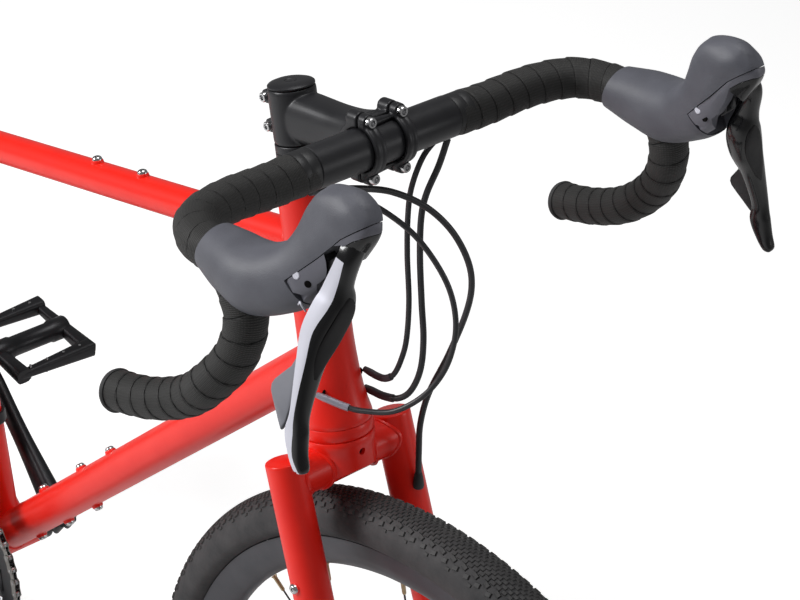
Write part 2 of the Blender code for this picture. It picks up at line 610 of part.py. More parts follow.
def make_tape(sign, label):
    """The wrapped sleeve on one side and the plug that closes the bar's end."""
    route = tape_route(sign)
    outer = sweep(route, TAPE_RADIUS, 8, Z_AXIS)
    ahead = (route[0] - route[1]).normalized()
    behind = (route[-1] - route[-2]).normalized()
    inner_route = [route[0] + ahead * 0.004] + route + [route[-1] + behind * 0.004]
    inner = sweep(inner_route, BAR_RADIUS + 0.0023, 5, Z_AXIS)
    piece("bar_tape_" + label, fuse([outer], [inner]), "bar_tape", "steering")
    end = route[-1]
    plug = turned([(0.0, 0.0072), (0.0095, 0.0062), (0.0150, 0.0030), (0.0158, GAP), (0.0, GAP)], end, behind, 8)
    piece("bar_plug_" + label, plug, "rubber", "steering")


HOOD_STATIONS = (
    # x, y, z, half height, half width
    (0.3900, 0.1745, 0.9790, 0.0175, 0.0178),
    (0.4250, 0.1785, 0.9865, 0.0270, 0.0190),
    (0.4570, 0.1815, 0.9995, 0.0285, 0.0200),
    (0.4820, 0.1835, 1.0200, 0.0285, 0.0208),
    (0.4985, 0.1830, 1.0450, 0.0262, 0.0204),
    (0.5090, 0.1800, 1.0690, 0.0250, 0.0195),
    (0.5160, 0.1775, 1.0860, 0.0215, 0.0175),
    (0.5205, 0.1755, 1.0970, 0.0100, 0.0090),
)
BRACKET_OUTLINE = ((0.4845, 1.0195), (0.5250, 1.0780), (0.5425, 1.0905), (0.5415, 1.0700), (0.5285, 1.0475),
                   (0.5180, 1.0490), (0.5090, 1.0205), (0.4990, 1.0120))
HOOD_FRONT_CUT = ((0.4838, 1.0192), (0.5243, 1.0787), (0.5422, 1.0915), (0.5600, 1.0915), (0.5600, 0.9900),
                  (0.5000, 0.9900), (0.4985, 1.0110))
BRAKE_PIVOT = (0.4985, 0.1890, 1.0290)
BLADE_STATIONS = (
    (0.5235, 0.1855, 1.0560, 0.0050, 0.0075),
    (0.5215, 0.1910, 1.0330, 0.0085, 0.0088),
    (0.5195, 0.1975, 1.0060, 0.0118, 0.0088),
    (0.5210, 0.2045, 0.9790, 0.0105, 0.0080),
    (0.5290, 0.2125, 0.9520, 0.0085, 0.0068),
    (0.5400, 0.2195, 0.9280, 0.0062, 0.0052),
)
PADDLE_OUTLINE = ((0.5072, 1.0030), (0.5064, 0.9900), (0.5060, 0.9740), (0.5115, 0.9500), (0.5130, 0.9330),
                  (0.5030, 0.9220), (0.4920, 0.9280), (0.4880, 0.9400), (0.5000, 0.9700), (0.5034, 1.0030))


def side_loft(stations, sign, sides):
    """A lofted body whose stations are given for the left side."""
    points = [Vector((x, sign * y, z)) for x, y, z, _, _ in stations]
    sizes = [(wide, tall) for _, _, _, tall, wide in stations]
    return sweep(points, sizes, sides)


def make_lever(sign, label):
    """Hood, bracket, lever carrier, brake blade and shift paddle on one side."""
    pivot = Vector((BRAKE_PIVOT[0], sign * BRAKE_PIVOT[1], BRAKE_PIVOT[2]))
    swing = Vector((0.5215, sign * 0.1905, 1.0370))
    group("brake_lever_" + label, pivot, "steering")
    group("shift_blade_" + label, swing, "brake_lever_" + label)
    group("release_paddle_" + label, Vector((0.5010, sign * 0.2010, 1.0080)), "brake_lever_" + label)
    near = sign * 0.1650
    far = sign * 0.2040
    bar_cut = sweep(tape_route(sign), TAPE_RADIUS + 0.0008, 8, Z_AXIS)
    front_cut = side_plate(HOOD_FRONT_CUT, sign * 0.150, sign * 0.215)
    hood = fuse([side_loft(HOOD_STATIONS, sign, 10)], [bar_cut, front_cut])
    piece("hood_" + label, hood, "hood_rubber", "steering", 60.0)

    shell = side_plate(BRACKET_OUTLINE, near, far - sign * 0.0010)
    slot = side_plate([(0.4940, 0.9950), (0.4885, 1.0230), (0.4930, 1.0385), (0.5120, 1.0625), (0.5500, 1.0625),
                       (0.5500, 0.9950)], sign * 0.1775, sign * 0.2008)
    pin_hole = rod(pivot - Y_AXIS * 0.05, pivot + Y_AXIS * 0.05, 0.0030, 6)
    piece("bracket_" + label, fuse([shell], [slot, pin_hole]), "black_gloss", "steering")

    barrel = rod(pivot + Y_AXIS * -0.0100, pivot + Y_AXIS * 0.0100, 0.0058, 8)
    pin = rod(Vector((pivot.x, near, pivot.z)), Vector((pivot.x, far, pivot.z)), 0.0024, 6)
    arm = side_plate([(0.4960, 1.0240), (0.5080, 1.0230), (0.5110, 1.0290), (0.5105, 1.0420), (0.5060, 1.0440), (0.4970, 1.0350)],
                     sign * 0.1860, sign * 0.1960)
    piece("lever_carrier_" + label, fuse([barrel, pin, arm]), "dark_steel", "brake_lever_" + label)
    piece("brake_blade_" + label, side_loft(BLADE_STATIONS, sign, 8), "black_gloss", "shift_blade_" + label)
    paddle = side_plate(PADDLE_OUTLINE, sign * 0.1985, sign * 0.2030)
    piece("shift_paddle_" + label, paddle, "hood_rubber", "release_paddle_" + label)


def make_tyre(centre, body, label):
    """A rounded tyre with its two beads in the rim."""
    mid = TYRE_RADIUS - TYRE_HALF_WIDTH
    profile = []
    for angle in (-118, -80, -40, 0, 40, 80, 118):
        a = math.radians(angle)
        profile.append((mid + TYRE_HALF_WIDTH * math.cos(a), TYRE_HALF_WIDTH * math.sin(a)))
    profile[0] = (RIM_EDGE_RADIUS + 0.0006, -0.0150)
    profile[-1] = (RIM_EDGE_RADIUS + 0.0006, 0.0150)
    profile += [(RIM_EDGE_RADIUS + 0.0006, 0.0108), (TYRE_RADIUS - 0.0045, 0.0), (RIM_EDGE_RADIUS + 0.0006, -0.0108)]
    piece(label + "_tyre", turned(profile, centre, Y_AXIS, WHEEL_SEGMENTS), "rubber", body)


def make_rim(centre, body, label):
    """A deep rim with a channel for the tyre beads."""
    edge = RIM_EDGE_RADIUS
    wide = RIM_HALF_WIDTH
    low = edge - RIM_DEPTH
    profile = [(edge, -wide), (edge - 0.017, -wide + 0.0008), (low, -0.0050), (low, 0.0050), (edge - 0.017, wide - 0.0008),
               (edge, wide), (edge - 0.0100, 0.0)]
    piece(label + "_rim", turned(profile, centre, Y_AXIS, WHEEL_SEGMENTS), "rim_alloy", body)


def make_hub(centre, body, label, half, flange_right, flange_left, driver):
    """Hub shell turned in one piece, with crossed spokes fused to its flanges."""
    bore = AXLE_RADIUS + 0.0010
    seat = half - ROTOR_INSET - ROTOR_THICK / 2 - GAP
    profile = [(bore, -half), (0.0095, -half), (0.0160, driver), (0.0160, flange_right - 0.0030),
               (0.0270, flange_right - 0.0030), (0.0270, flange_right + 0.0030), (0.0130, flange_right + 0.0080),
               (0.0130, flange_left - 0.0080), (0.0270, flange_left - 0.0030), (0.0270, flange_left + 0.0030),
               (0.0200, seat), (0.0164, seat), (0.0095, half), (bore, half)]
    bodies = [turned(profile, centre, Y_AXIS, 10)]
    reach = (RIM_EDGE_RADIUS - RIM_DEPTH) * math.cos(math.pi / WHEEL_SEGMENTS) - 2 * GAP
    for k in range(SPOKES):
        flange = flange_right if k % 2 else flange_left
        lean = 1 if (k // 2) % 2 else -1
        rim_angle = 2 * math.pi * k / SPOKES
        hub_angle = rim_angle + lean * math.radians(62.0)
        offset = lean * 0.0014
        start = centre + Vector((0.0240 * math.cos(hub_angle), flange + offset, 0.0240 * math.sin(hub_angle)))
        side = 0.0022 if k % 2 == 0 else -0.0022
        end = centre + Vector((reach * math.cos(rim_angle), side, reach * math.sin(rim_angle)))
        bodies.append(rod(start, end, SPOKE_RADIUS * 1.2, 3))
    piece(label + "_hub", fuse(bodies), "black_alloy", body)


def make_rotor(centre, body, label, plane):
    """A brake disc with five windows, which leave its arms between them."""
    disc = turned([(0.0172, -ROTOR_THICK / 2), (ROTOR_RADIUS, -ROTOR_THICK / 2), (ROTOR_RADIUS, ROTOR_THICK / 2),
                   (0.0172, ROTOR_THICK / 2)], centre + Y_AXIS * plane, Y_AXIS, 18)
    windows = []
    for k in range(5):
        turn = Matrix.Rotation(math.radians(72.0 * k), 3, Y_AXIS)
        outline = arc((0.0, 0.0), 0.0250, 8.0, 50.0, 1) + arc((0.0, 0.0), 0.0640, 74.0, 26.0, 1)
        windows.append(plate(outline, centre + Y_AXIS * plane, turn @ X_AXIS, turn @ Z_AXIS, 0.01))
    piece(label + "_rotor", fuse([disc], windows), "bright_steel", body)


def make_axle(centre, half, name, body):
    """A through axle with a head on the right and a nut face on the left."""
    reach = half + 0.0080
    outer = half + 0.0180 if half < 0.06 else half + 0.0075
    profile = [(0.0, -outer - 0.0050), (0.0085, -outer - 0.0050), (0.0090, -outer - GAP),
               (AXLE_RADIUS, -outer - GAP), (AXLE_RADIUS, reach), (0.0, reach)]
    piece(name, turned(profile, centre, Y_AXIS, 10), "black_alloy", body)


def make_brake(centre, seat, foot, body, label):
    """A two-piston caliper over the disc's edge, with its pair of pads."""
    out = (seat - Vector((centre.x, seat.y, centre.z))).normalized()
    along = Vector((-out.z, 0.0, out.x))
    half_hub = FRONT_HUB_HALF if label == "front" else REAR_HUB_HALF
    middle = centre + Y_AXIS * (half_hub - ROTOR_INSET) + out * 0.0745
    block = [(-0.0150, -0.0220), (0.0130, -0.0220), (0.0170, -0.0150), (0.0170, 0.0150), (0.0130, 0.0220), (-0.0150, 0.0220)]
    half = 0.0085
    housing = plate(block, middle, out, along, 2 * half)
    pistons = [rod(middle + Y_AXIS * s * (half - 0.001), middle + Y_AXIS * s * (half + 0.0035), 0.0095, 8) for s in (-1, 1)]
    disc_room = plate([(-0.0300, -0.0400), (0.0095, -0.0400), (0.0095, 0.0400), (-0.0300, 0.0400)], middle, out, along, 0.0090)
    piece(label + "_caliper", fuse([housing, foot] + pistons, [disc_room]), "black_alloy", body)
    for s, which in ((-1, "inner"), (1, "outer")):
        name = "%s_pad_%s_slide" % (label, which)
        spot = middle + Y_AXIS * s * (ROTOR_THICK / 2 + 0.0006)
        group(name, spot, body)
        pad = plate([(-0.0120, -0.0125), (0.0060, -0.0140), (0.0060, 0.0140), (-0.0120, 0.0125)],
                    spot + Y_AXIS * s * 0.0012, out, along, 0.0024)
        piece(name.replace("_slide", ""), pad, "dark_steel", name)


def gear(centre, teeth, thickness, phase):
    """A toothed disc with pointed teeth, which lie midway between the chain's pins."""
    radius = sprocket_radius(teeth)
    bm = bmesh.new()
    tips = []
    roots = []
    for k in range(teeth):
        tip = phase + (k + 0.5) * 2 * math.pi / teeth
        root = phase + k * 2 * math.pi / teeth
        out = Vector((math.cos(tip), 0.0, math.sin(tip)))
        tips.append(bm.verts.new(centre + out * (radius + TOOTH_RISE)))
        out = Vector((math.cos(root), 0.0, math.sin(root)))
        foot = centre + out * (radius - TOOTH_DEPTH)
        roots.append([bm.verts.new(foot + Y_AXIS * s * thickness / 2) for s in (-1, 1)])
    for k, tip in enumerate(tips):
        here = roots[k]
        after = roots[(k + 1) % teeth]
        bm.faces.new((here[0], here[1], tip))
        bm.faces.new((after[0], after[1], tip))
        for s in (0, 1):
            bm.faces.new((here[s], after[s], tip))
    for s in (0, 1):
        bm.faces.new([pair[s] for pair in roots])
    bmesh.ops.recalc_face_normals(bm, faces=bm.faces)
    return bm


def sprocket_radius(teeth):
    """Radius of the circle that the chain's pins lie on."""
    return PITCH / (2 * math.sin(math.pi / teeth))


def chain_route(cage_angle):
    """Tangent runs and arcs round ring, jockeys and sprocket, counted in pitches."""
    guide = Vector((REAR_AXLE.x + GUIDE_AHEAD, REAR_AXLE.z - GUIDE_BELOW))
    tension = guide + Vector((math.sin(cage_angle), -math.cos(cage_angle))) * CAGE_LENGTH
    wheels = [(Vector((BB.x, BB.z)), RING_LARGE, -1), (tension, JOCKEY_TEETH, -1), (guide, JOCKEY_TEETH, 1),
              (Vector((REAR_AXLE.x, REAR_AXLE.z)), SPROCKETS[SPROCKET_IN_USE], -1)]
    runs = []
    for k in range(4):
        ca, na, oa = wheels[k]
        cb, nb, ob = wheels[(k + 1) % 4]
        gap = cb - ca
        height = ob * sprocket_radius(nb) - oa * sprocket_radius(na)
        flat = math.sqrt(gap.length_squared - height * height)
        unit = gap.normalized()
        square = Vector((-unit.y, unit.x))
        along = (unit * flat - square * height) / gap.length
        left = Vector((-along.y, along.x))
        runs.append((ca - left * oa * sprocket_radius(na), cb - left * ob * sprocket_radius(nb)))
    segments = []
    for k in range(4):
        start, end = runs[k]
        segments.append(("run", start, end, (end - start).length / PITCH))
        centre, teeth, turn = wheels[(k + 1) % 4]
        first = math.atan2(end.y - centre.y, end.x - centre.x)
        leave = runs[(k + 1) % 4][0]
        last = math.atan2(leave.y - centre.y, leave.x - centre.x)
        swept = (last - first) * turn % (2 * math.pi)
        segments.append(("arc", centre, (first, turn, teeth), swept * teeth / (2 * math.pi)))
    return segments, guide, tension


def solve_cage():
    """The cage angle at which the chain is a whole, even number of links."""
    def total(angle):
        return sum(s[3] for s in chain_route(angle)[0])
    low, high = math.radians(-5.0), math.radians(60.0)
    middle = total(math.radians(28.0))
    goal = 2 * round(middle / 2)
    for _ in range(60):
        angle = (low + high) / 2
        if (total(angle) - goal) * (total(high) - goal) > 0:
            high = angle
        else:
            low = angle
    return (low + high) / 2, goal


def pins_on(segments, count):
    """Every pin's place, and the angle of a pin on each toothed wheel."""
    pins = []
    phases = []
    start = 0.0
    for kind, a, b, length in segments:
        first = math.ceil(start - 1e-9)
        if kind == "arc":
            angle, turn, teeth = b
            phases.append(angle + turn * (first - start) * 2 * math.pi / teeth)
        for k in range(first, min(math.ceil(start + length - 1e-9), count)):
            if kind == "run":
                pins.append(a.lerp(b, (k - start) / length))
            else:
                at = angle + turn * (k - start) * 2 * math.pi / teeth
                pins.append(a + Vector((math.cos(at), math.sin(at))) * sprocket_radius(teeth))
        start += length
    return pins, phases


def make_chain(pins):
    """Side plates joined by rollers in one ladder, with a hole for each tooth."""
    half_height = 0.0034
    half_roller = 0.0016
    bm = bmesh.new()
    count = len(pins)
    rows = []
    for k, pin in enumerate(pins):
        along = (pins[(k + 1) % count] - pins[k - 1]).normalized()
        up = Vector((-along.y, along.x))
        low = pin - up * half_height
        row = {}
        for side in (-1, 1):
            for name, spot, across in (("high", pin + up * half_height, 0.0029), ("low", low, 0.0029),
                                       ("back", low - along * half_roller, 0.0011),
                                       ("front", low + along * half_roller, 0.0011)):
                row[name, side] = bm.verts.new((spot.x, CHAIN_LINE + side * across, spot.y))
        rows.append(row)
    rung = (("back", -1), ("low", -1), ("front", -1), ("front", 1), ("low", 1), ("back", 1))
    for k, row in enumerate(rows):
        after = rows[(k + 1) % count]
        bm.faces.new([row[key] for key in rung])
        bm.faces.new((row["high", -1], row["high", 1], row["back", 1], row["back", -1]))
        bm.faces.new((row["high", -1], row["high", 1], row["front", 1], row["front", -1]))
        for side in (-1, 1):
            bm.faces.new((row["low", side], after["low", side], after["back", side], row["front", side]))
            bm.faces.new((row["high", side], after["high", side], after["low", side], row["low", side]))
            bm.faces.new((row["high", side], after["high", side], after["back", side], row["front", side]))
    bmesh.ops.recalc_face_normals(bm, faces=bm.faces)
    piece("chain", bm, "dark_steel", "frame_body")


def make_cassette(phase):
    """Eight toothed sprockets on one hollow core, smallest outboard."""
    outermost = CHAIN_LINE - SPROCKET_STEP * SPROCKET_IN_USE
    core_in = outermost + SPROCKET_STEP * (len(SPROCKETS) - 1) + 0.0020
    core = rod(REAR_AXLE + Y_AXIS * (outermost - 0.0006), REAR_AXLE + Y_AXIS * core_in, 0.0214, 6)
    bodies = [core]
    bore = rod(REAR_AXLE - Y_AXIS * 0.09, REAR_AXLE + Y_AXIS * 0.0, 0.0188, 6)
    for k, teeth in enumerate(SPROCKETS):
        centre = REAR_AXLE + Y_AXIS * (outermost + SPROCKET_STEP * k)
        bodies.append(gear(centre, teeth, 0.0016, phase))
    piece("cassette", fuse(bodies, [bore]), "bright_steel", "cassette_body")


def make_rings(phase):
    """Two chainrings bolted through one another on four bosses."""
    large = gear(BB + Y_AXIS * CHAIN_LINE, RING_LARGE, 0.0018, phase)
    small = gear(BB + Y_AXIS * (CHAIN_LINE + RING_STEP), RING_SMALL, 0.0018, phase)
    bodies = [large, small]
    for k in range(4):
        a = CRANK_ANGLE + math.radians(45.0 + 90.0 * k)
        spot = BB + Vector((0.0440 * math.cos(a), 0.0, 0.0440 * math.sin(a)))
        bodies.append(rod(spot + Y_AXIS * (CHAIN_LINE - 0.0008), spot + Y_AXIS * (CHAIN_LINE + RING_STEP + 0.0008), 0.0048, 6))
    cuts = [rod(BB - Y_AXIS * 0.08, BB - Y_AXIS * 0.03, 0.0370, 10)]
    piece("chainrings", fuse(bodies, cuts), "black_alloy", "crank_body")


def crank_arm(sign, inner, direction):
    """A tapered crank arm from the spindle's end to the pedal's eye."""
    stations = []
    for t in (0.0, 0.12, 0.5, 0.88, 1.0):
        point = BB + direction * CRANK_LENGTH * t + Y_AXIS * sign * (inner + 0.0075 + 0.010 * min(1.0, t * 1.2))
        stations.append(point)
    sizes = [(0.0100, 0.0165), (0.0095, 0.0150), (0.0068, 0.0115), (0.0066, 0.0125), (0.0062, 0.0120)]
    return sweep(stations, sizes, 8)


def make_cranks():
    """Right crank with spindle and spider, left crank, and pedal axles."""
    direction = Vector((math.cos(CRANK_ANGLE), 0.0, math.sin(CRANK_ANGLE)))
    left_inner = 0.0530
    right_inner = 0.0560
    spindle = rod(BB - Y_AXIS * 0.0600, BB + Y_AXIS * 0.0430, 0.0118, 10)
    hub = rod(BB - Y_AXIS * 0.0720, BB - Y_AXIS * 0.0445, 0.0175, 12)
    bodies = [crank_arm(-1, right_inner, -direction), spindle, hub]
    for k in range(4):
        a = CRANK_ANGLE + math.radians(45.0 + 90.0 * k)
        along = Vector((math.cos(a), 0.0, math.sin(a)))
        bodies.append(sweep([BB + Y_AXIS * -0.0590 + along * 0.008, BB + Y_AXIS * -0.0537 + along * 0.0510],
                            [(0.0050, 0.0090), (0.0018, 0.0062)], 6))
    bodies.append(pedal_axle(-1, -direction))
    piece("crank_right", fuse(bodies), "black_alloy", "crank_body")
    boss = rod(BB + Y_AXIS * 0.0434, BB + Y_AXIS * 0.0740, 0.0165, 12)
    piece("crank_left", fuse([crank_arm(1, left_inner, direction), boss, pedal_axle(1, direction)]), "black_alloy", "crank_body")
    make_pedal(-1, -direction, "right")
    make_pedal(1, direction, "left")


def pedal_eye(sign, direction):
    """Where the pedal's axle leaves the crank arm."""
    return BB + direction * CRANK_LENGTH + Y_AXIS * sign * 0.0770


def pedal_axle(sign, direction):
    """The pedal spindle screwed into the arm."""
    eye = pedal_eye(sign, direction)
    return rod(eye - Y_AXIS * sign * 0.006, eye + Y_AXIS * sign * 0.0560, 0.0044, 8)


def make_pedal(sign, direction, label):
    """A platform pedal: centre barrel, two end bars and side rails around open gaps."""
    eye = pedal_eye(sign, direction)
    group("pedal_%s_body" % label, eye, "crank_body")
    near = eye + Y_AXIS * sign * 0.0070
    far = eye + Y_AXIS * sign * 0.0950
    middle = (near + far) / 2
    barrel = turned([(0.0050, -0.044), (0.0115, -0.044), (0.0115, 0.044), (0.0050, 0.044)], middle, Y_AXIS, 8)
    low = (middle.x - 0.048, min(near.y, far.y), middle.z - 0.0085)
    high = (middle.x + 0.048, max(near.y, far.y), middle.z + 0.0085)
    cage = box(low, high)
    gaps = []
    for s in (-1, 1):
        x_low, x_high = sorted((middle.x + s * 0.0155, middle.x + s * 0.0400))
        gaps.append(box((x_low, low[1] + 0.0090, low[2] - 0.01), (x_high, high[1] - 0.0090, high[2] + 0.01)))
    bore = rod(near - Y_AXIS * sign * 0.02, near + Y_AXIS * sign * 0.0560, 0.0050, 8)
    piece("pedal_" + label, fuse([cage, barrel], gaps + [bore]), "black_alloy", "pedal_%s_body" % label)


def make_front_derailleur():
    """A band clamp with its arm, and the cage that guides the chain."""
    up = 0.128
    seat = seat_point(up)
    band = turned([(SEAT_TUBE_RADIUS + 0.0010, -0.006), (0.0196, -0.006), (0.0196, 0.006),
                   (SEAT_TUBE_RADIUS + 0.0010, 0.006)], seat, SEAT_UP, 12)
    arm = box((seat.x - 0.012, -0.0360, seat.z - 0.006), (seat.x + 0.010, -0.0175, seat.z + 0.008))
    piece("front_derailleur_clamp", fuse([band, arm]), "black_alloy", "frame_body")
    group("front_derailleur_body", Vector((seat.x, -0.040, seat.z)), "frame_body")
    centre = (BB.x, BB.z)
    low_edge = arc(centre, 0.0990, 128.0, 86.0, 4)
    high_edge = arc(centre, 0.1180, 86.0, 124.0, 4)
    plates = [side_plate(low_edge + high_edge, CHAIN_LINE + s * 0.0058 - 0.0007, CHAIN_LINE + s * 0.0058 + 0.0007) for s in (-1, 1)]
    bridge = side_plate(arc(centre, 0.1155, 116.0, 98.0, 2) + arc(centre, 0.1178, 98.0, 116.0, 2),
                        CHAIN_LINE - 0.0060, CHAIN_LINE + 0.0060)
    link = box((seat.x - 0.010, -0.0450, seat.z - 0.022), (seat.x + 0.006, -0.0300, seat.z - 0.0064))
    piece("front_derailleur_cage", fuse(plates + [bridge, link]), "dark_steel", "front_derailleur_body")


def make_rear_derailleur(guide, tension, phases):
    """Hanger knuckle, moving knuckle with its links, cage plates and two jockey wheels."""
    hang = Vector((-0.5315, -0.0850, 0.3250))
    knuckle = rod(hang - Y_AXIS * 0.0070, hang + Y_AXIS * 0.0068, 0.0110, 10)
    stud = rod(hang, Vector((hang.x, -0.0712, hang.z)), 0.0040, 8)
    ear = side_plate([(-0.5400, 0.3180), (-0.5270, 0.3160), (-0.5230, 0.3050), (-0.5330, 0.3020)], -0.0925, -0.0790)
    piece("rear_derailleur_knuckle", fuse([knuckle, stud, ear]), "black_alloy", "frame_body")

    g = Vector((guide.x, CHAIN_LINE, guide.y))
    t = Vector((tension.x, CHAIN_LINE, tension.y))
    group("rear_derailleur_body", g - Y_AXIS * 0.020, "frame_body")
    links = sweep([(-0.5270, -0.0860, 0.3000), (-0.5230, -0.0800, 0.2850), (g.x - 0.002, -0.0710, g.z + 0.006)],
                  [(0.0065, 0.0090), (0.0060, 0.0085), (0.0065, 0.0090)], 8)
    lower = rod((g.x, -0.0800, g.z), (g.x, -0.0600, g.z), 0.0125, 10)
    piece("rear_derailleur_link", fuse([links, lower]), "black_alloy", "rear_derailleur_body")

    group("derailleur_cage_body", g, "rear_derailleur_body")
    along = (t - g).normalized()
    square = along.cross(Y_AXIS)
    length = (t - g).length
    shape = [(-0.0095, -0.0060), (-0.0095, 0.0060), (0.0080, 0.0105), (length - 0.010, 0.0080), (length + 0.0085, 0.0060),
             (length + 0.0085, -0.0060), (length - 0.010, -0.0080), (0.0080, -0.0105)]
    outer = plate(shape, g - Y_AXIS * 0.0072, along, square, 0.0016)
    inner = plate(shape, g + Y_AXIS * 0.0072, along, square, 0.0016)
    pins = [rod(spot - Y_AXIS * 0.0088, spot + Y_AXIS * 0.0088, 0.0030, 6) for spot in (g, t)]
    axle = rod(g - Y_AXIS * 0.0093, g - Y_AXIS * 0.0070, 0.0080, 10)
    piece("derailleur_cage", fuse([outer, inner, axle] + pins), "black_alloy", "derailleur_cage_body")
    for spot, name, phase in ((g, "guide_wheel", phases[1]), (t, "tension_wheel", phases[0])):
        group(name + "_body", spot, "derailleur_cage_body")
        disc = gear(spot, JOCKEY_TEETH, 0.0020, phase)
        bore = rod(spot - Y_AXIS * 0.02, spot + Y_AXIS * 0.02, 0.0037, 6)
        boss = rod(spot - Y_AXIS * 0.0038, spot + Y_AXIS * 0.0038, 0.0080, 8)
        piece(name, fuse([disc, boss], [bore]), "rubber", name + "_body")


CABLES = {
    "front_brake_hose": (0.0025, "steering", (
        (0.3600, -0.0655, 0.9690), (0.3590, -0.0400, 0.9620), (0.3580, -0.0120, 0.9540), (0.3640, 0.0120, 0.9440),
        (0.3750, 0.0350, 0.9300), (0.3870, 0.0520, 0.9110), (0.3970, 0.0630, 0.8880), (0.4020, 0.0680, 0.8650),
        (0.4020, 0.0670, 0.8380), (0.3960, 0.0610, 0.7970), (0.3880, 0.0540, 0.7580), (0.3870, 0.0505, 0.7290),
        (0.3890, 0.0510, 0.7030), (0.3915, 0.0530, 0.6720))),
    "rear_shift_cable": (0.0022, "frame_body", (
        (0.3510, -0.0655, 0.9680), (0.3510, -0.0420, 0.9590), (0.3560, -0.0180, 0.9470), (0.3670, 0.0020, 0.9330),
        (0.3830, 0.0170, 0.9180), (0.3980, 0.0270, 0.9000), (0.4120, 0.0330, 0.8800), (0.4210, 0.0350, 0.8580),
        (0.4250, 0.0330, 0.8360), (0.4240, 0.0270, 0.8120), (0.4170, 0.0160, 0.7900), (0.4020, 0.0030, 0.7720),
        (0.3820, -0.0080, 0.7640), (0.3690, -0.0140, 0.7620), (0.3520, -0.0222, 0.7634))),
    "rear_brake_hose": (0.0025, "frame_body", (
        (0.3600, 0.0655, 0.9690), (0.3600, 0.0600, 0.9480), (0.3580, 0.0530, 0.9240), (0.3600, 0.0490, 0.9050),
        (0.3660, 0.0470, 0.8750), (0.3750, 0.0460, 0.8390), (0.3830, 0.0450, 0.8100), (0.3870, 0.0420, 0.7850),
        (0.3850, 0.0370, 0.7660), (0.3780, 0.0320, 0.7560), (0.3660, 0.0280, 0.7520), (0.3540, 0.0255, 0.7510))),
    "front_shift_cable": (0.0022, "frame_body", (
        (0.3520, 0.0655, 0.9680), (0.3510, 0.0520, 0.9540), (0.3500, 0.0450, 0.9290), (0.3530, 0.0420, 0.9060),
        (0.3600, 0.0395, 0.8760), (0.3690, 0.0385, 0.8390), (0.3740, 0.0360, 0.8080), (0.3745, 0.0325, 0.7900),
        (0.3725, 0.0290, 0.7770), (0.3670, 0.0265, 0.7705), (0.3600, 0.0250, 0.7685), (0.3520, 0.0240, 0.7680))),
}


def make_cables():
    """Four hoses and housings, each a smooth curve from the tape to its port."""
    for name, (radius, body, route) in CABLES.items():
        points = even_points(route, radius * 6.0)
        curve = bpy.data.curves.new(name, "CURVE")
        curve.dimensions = "3D"
        curve.bevel_depth = radius
        curve.bevel_resolution = 2
        curve.use_fill_caps = True
        curve.materials.append(MATERIALS["cable_housing"])
        spline = curve.splines.new("POLY")
        spline.points.add(len(points) - 1)
        pivot = GROUPS[body][1]
        for slot, point in zip(spline.points, points):
            slot.co = (*(point - pivot), 1.0)
        obj = bpy.data.objects.new(name, curve)
        bpy.context.scene.collection.objects.link(obj)
        obj.parent = GROUPS[body][0]


def build():
    """Every piece of the bicycle."""
    clear_scene()
    MATERIALS.update(make_finishes())
    group("frame_body", Vector((0.0, 0.0, 0.0)))
    group("steering", STEER_FOOT, "frame_body")
    group("front_wheel", FRONT_AXLE, "steering")
    group("rear_wheel", REAR_AXLE, "frame_body")
    group("cassette_body", REAR_AXLE, "frame_body")
    group("crank_body", BB, "frame_body")

    make_frame()
    make_seat()
    make_bearings()
    make_fork()
    make_cockpit()
    for sign, label in ((-1, "right"), (1, "left")):
        make_tape(sign, label)
        make_lever(sign, label)

    for centre, body, label in ((FRONT_AXLE, "front_wheel", "front"), (REAR_AXLE, "rear_wheel", "rear")):
        make_tyre(centre, body, label)
        make_rim(centre, body, label)
    make_hub(FRONT_AXLE, "front_wheel", "front", FRONT_HUB_HALF, -0.0340, 0.0225, -0.046)
    make_hub(REAR_AXLE, "rear_wheel", "rear", REAR_HUB_HALF, -0.0190, 0.0340, -0.067)
    make_rotor(FRONT_AXLE, "front_wheel", "front", FRONT_HUB_HALF - ROTOR_INSET)
    make_rotor(REAR_AXLE, "rear_wheel", "rear", REAR_HUB_HALF - ROTOR_INSET)
    make_axle(FRONT_AXLE, FRONT_HUB_HALF, "front_axle", "steering")
    make_axle(REAR_AXLE, REAR_HUB_HALF, "rear_axle", "frame_body")

    cage_angle, links = solve_cage()
    segments, guide, tension = chain_route(cage_angle)
    pins, phases = pins_on(segments, links)
    make_chain(pins)
    make_rings(phases[3])
    make_cassette(phases[2])
    make_rear_derailleur(guide, tension, phases)
    make_front_derailleur()
    make_cranks()
    make_cables()

    front_foot = side_plate(FRONT_BRAKE_FOOT, 0.0420, 0.0502)
    make_brake(FRONT_AXLE, FRONT_AXLE + Vector((-0.080, 0.0, 0.060)), front_foot, "steering", "front")
    rear_foot = side_plate(REAR_BRAKE_FOOT, 0.0630, 0.0702)
    make_brake(REAR_AXLE, REAR_AXLE + Vector((0.100, 0.0, 0.040)), rear_foot, "frame_body", "rear")


build()
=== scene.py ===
"""The looks of a drop-bar trekking bicycle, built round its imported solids.

Metres, +Z up, +X forward, +Y to the rider's left, as in the solids. Only the numbers given to pairs()
and triples() are tenths of a millimetre.
"""
import math

import bmesh
import bpy
from mathutils import Matrix, Vector
from mathutils.bvhtree import BVHTree


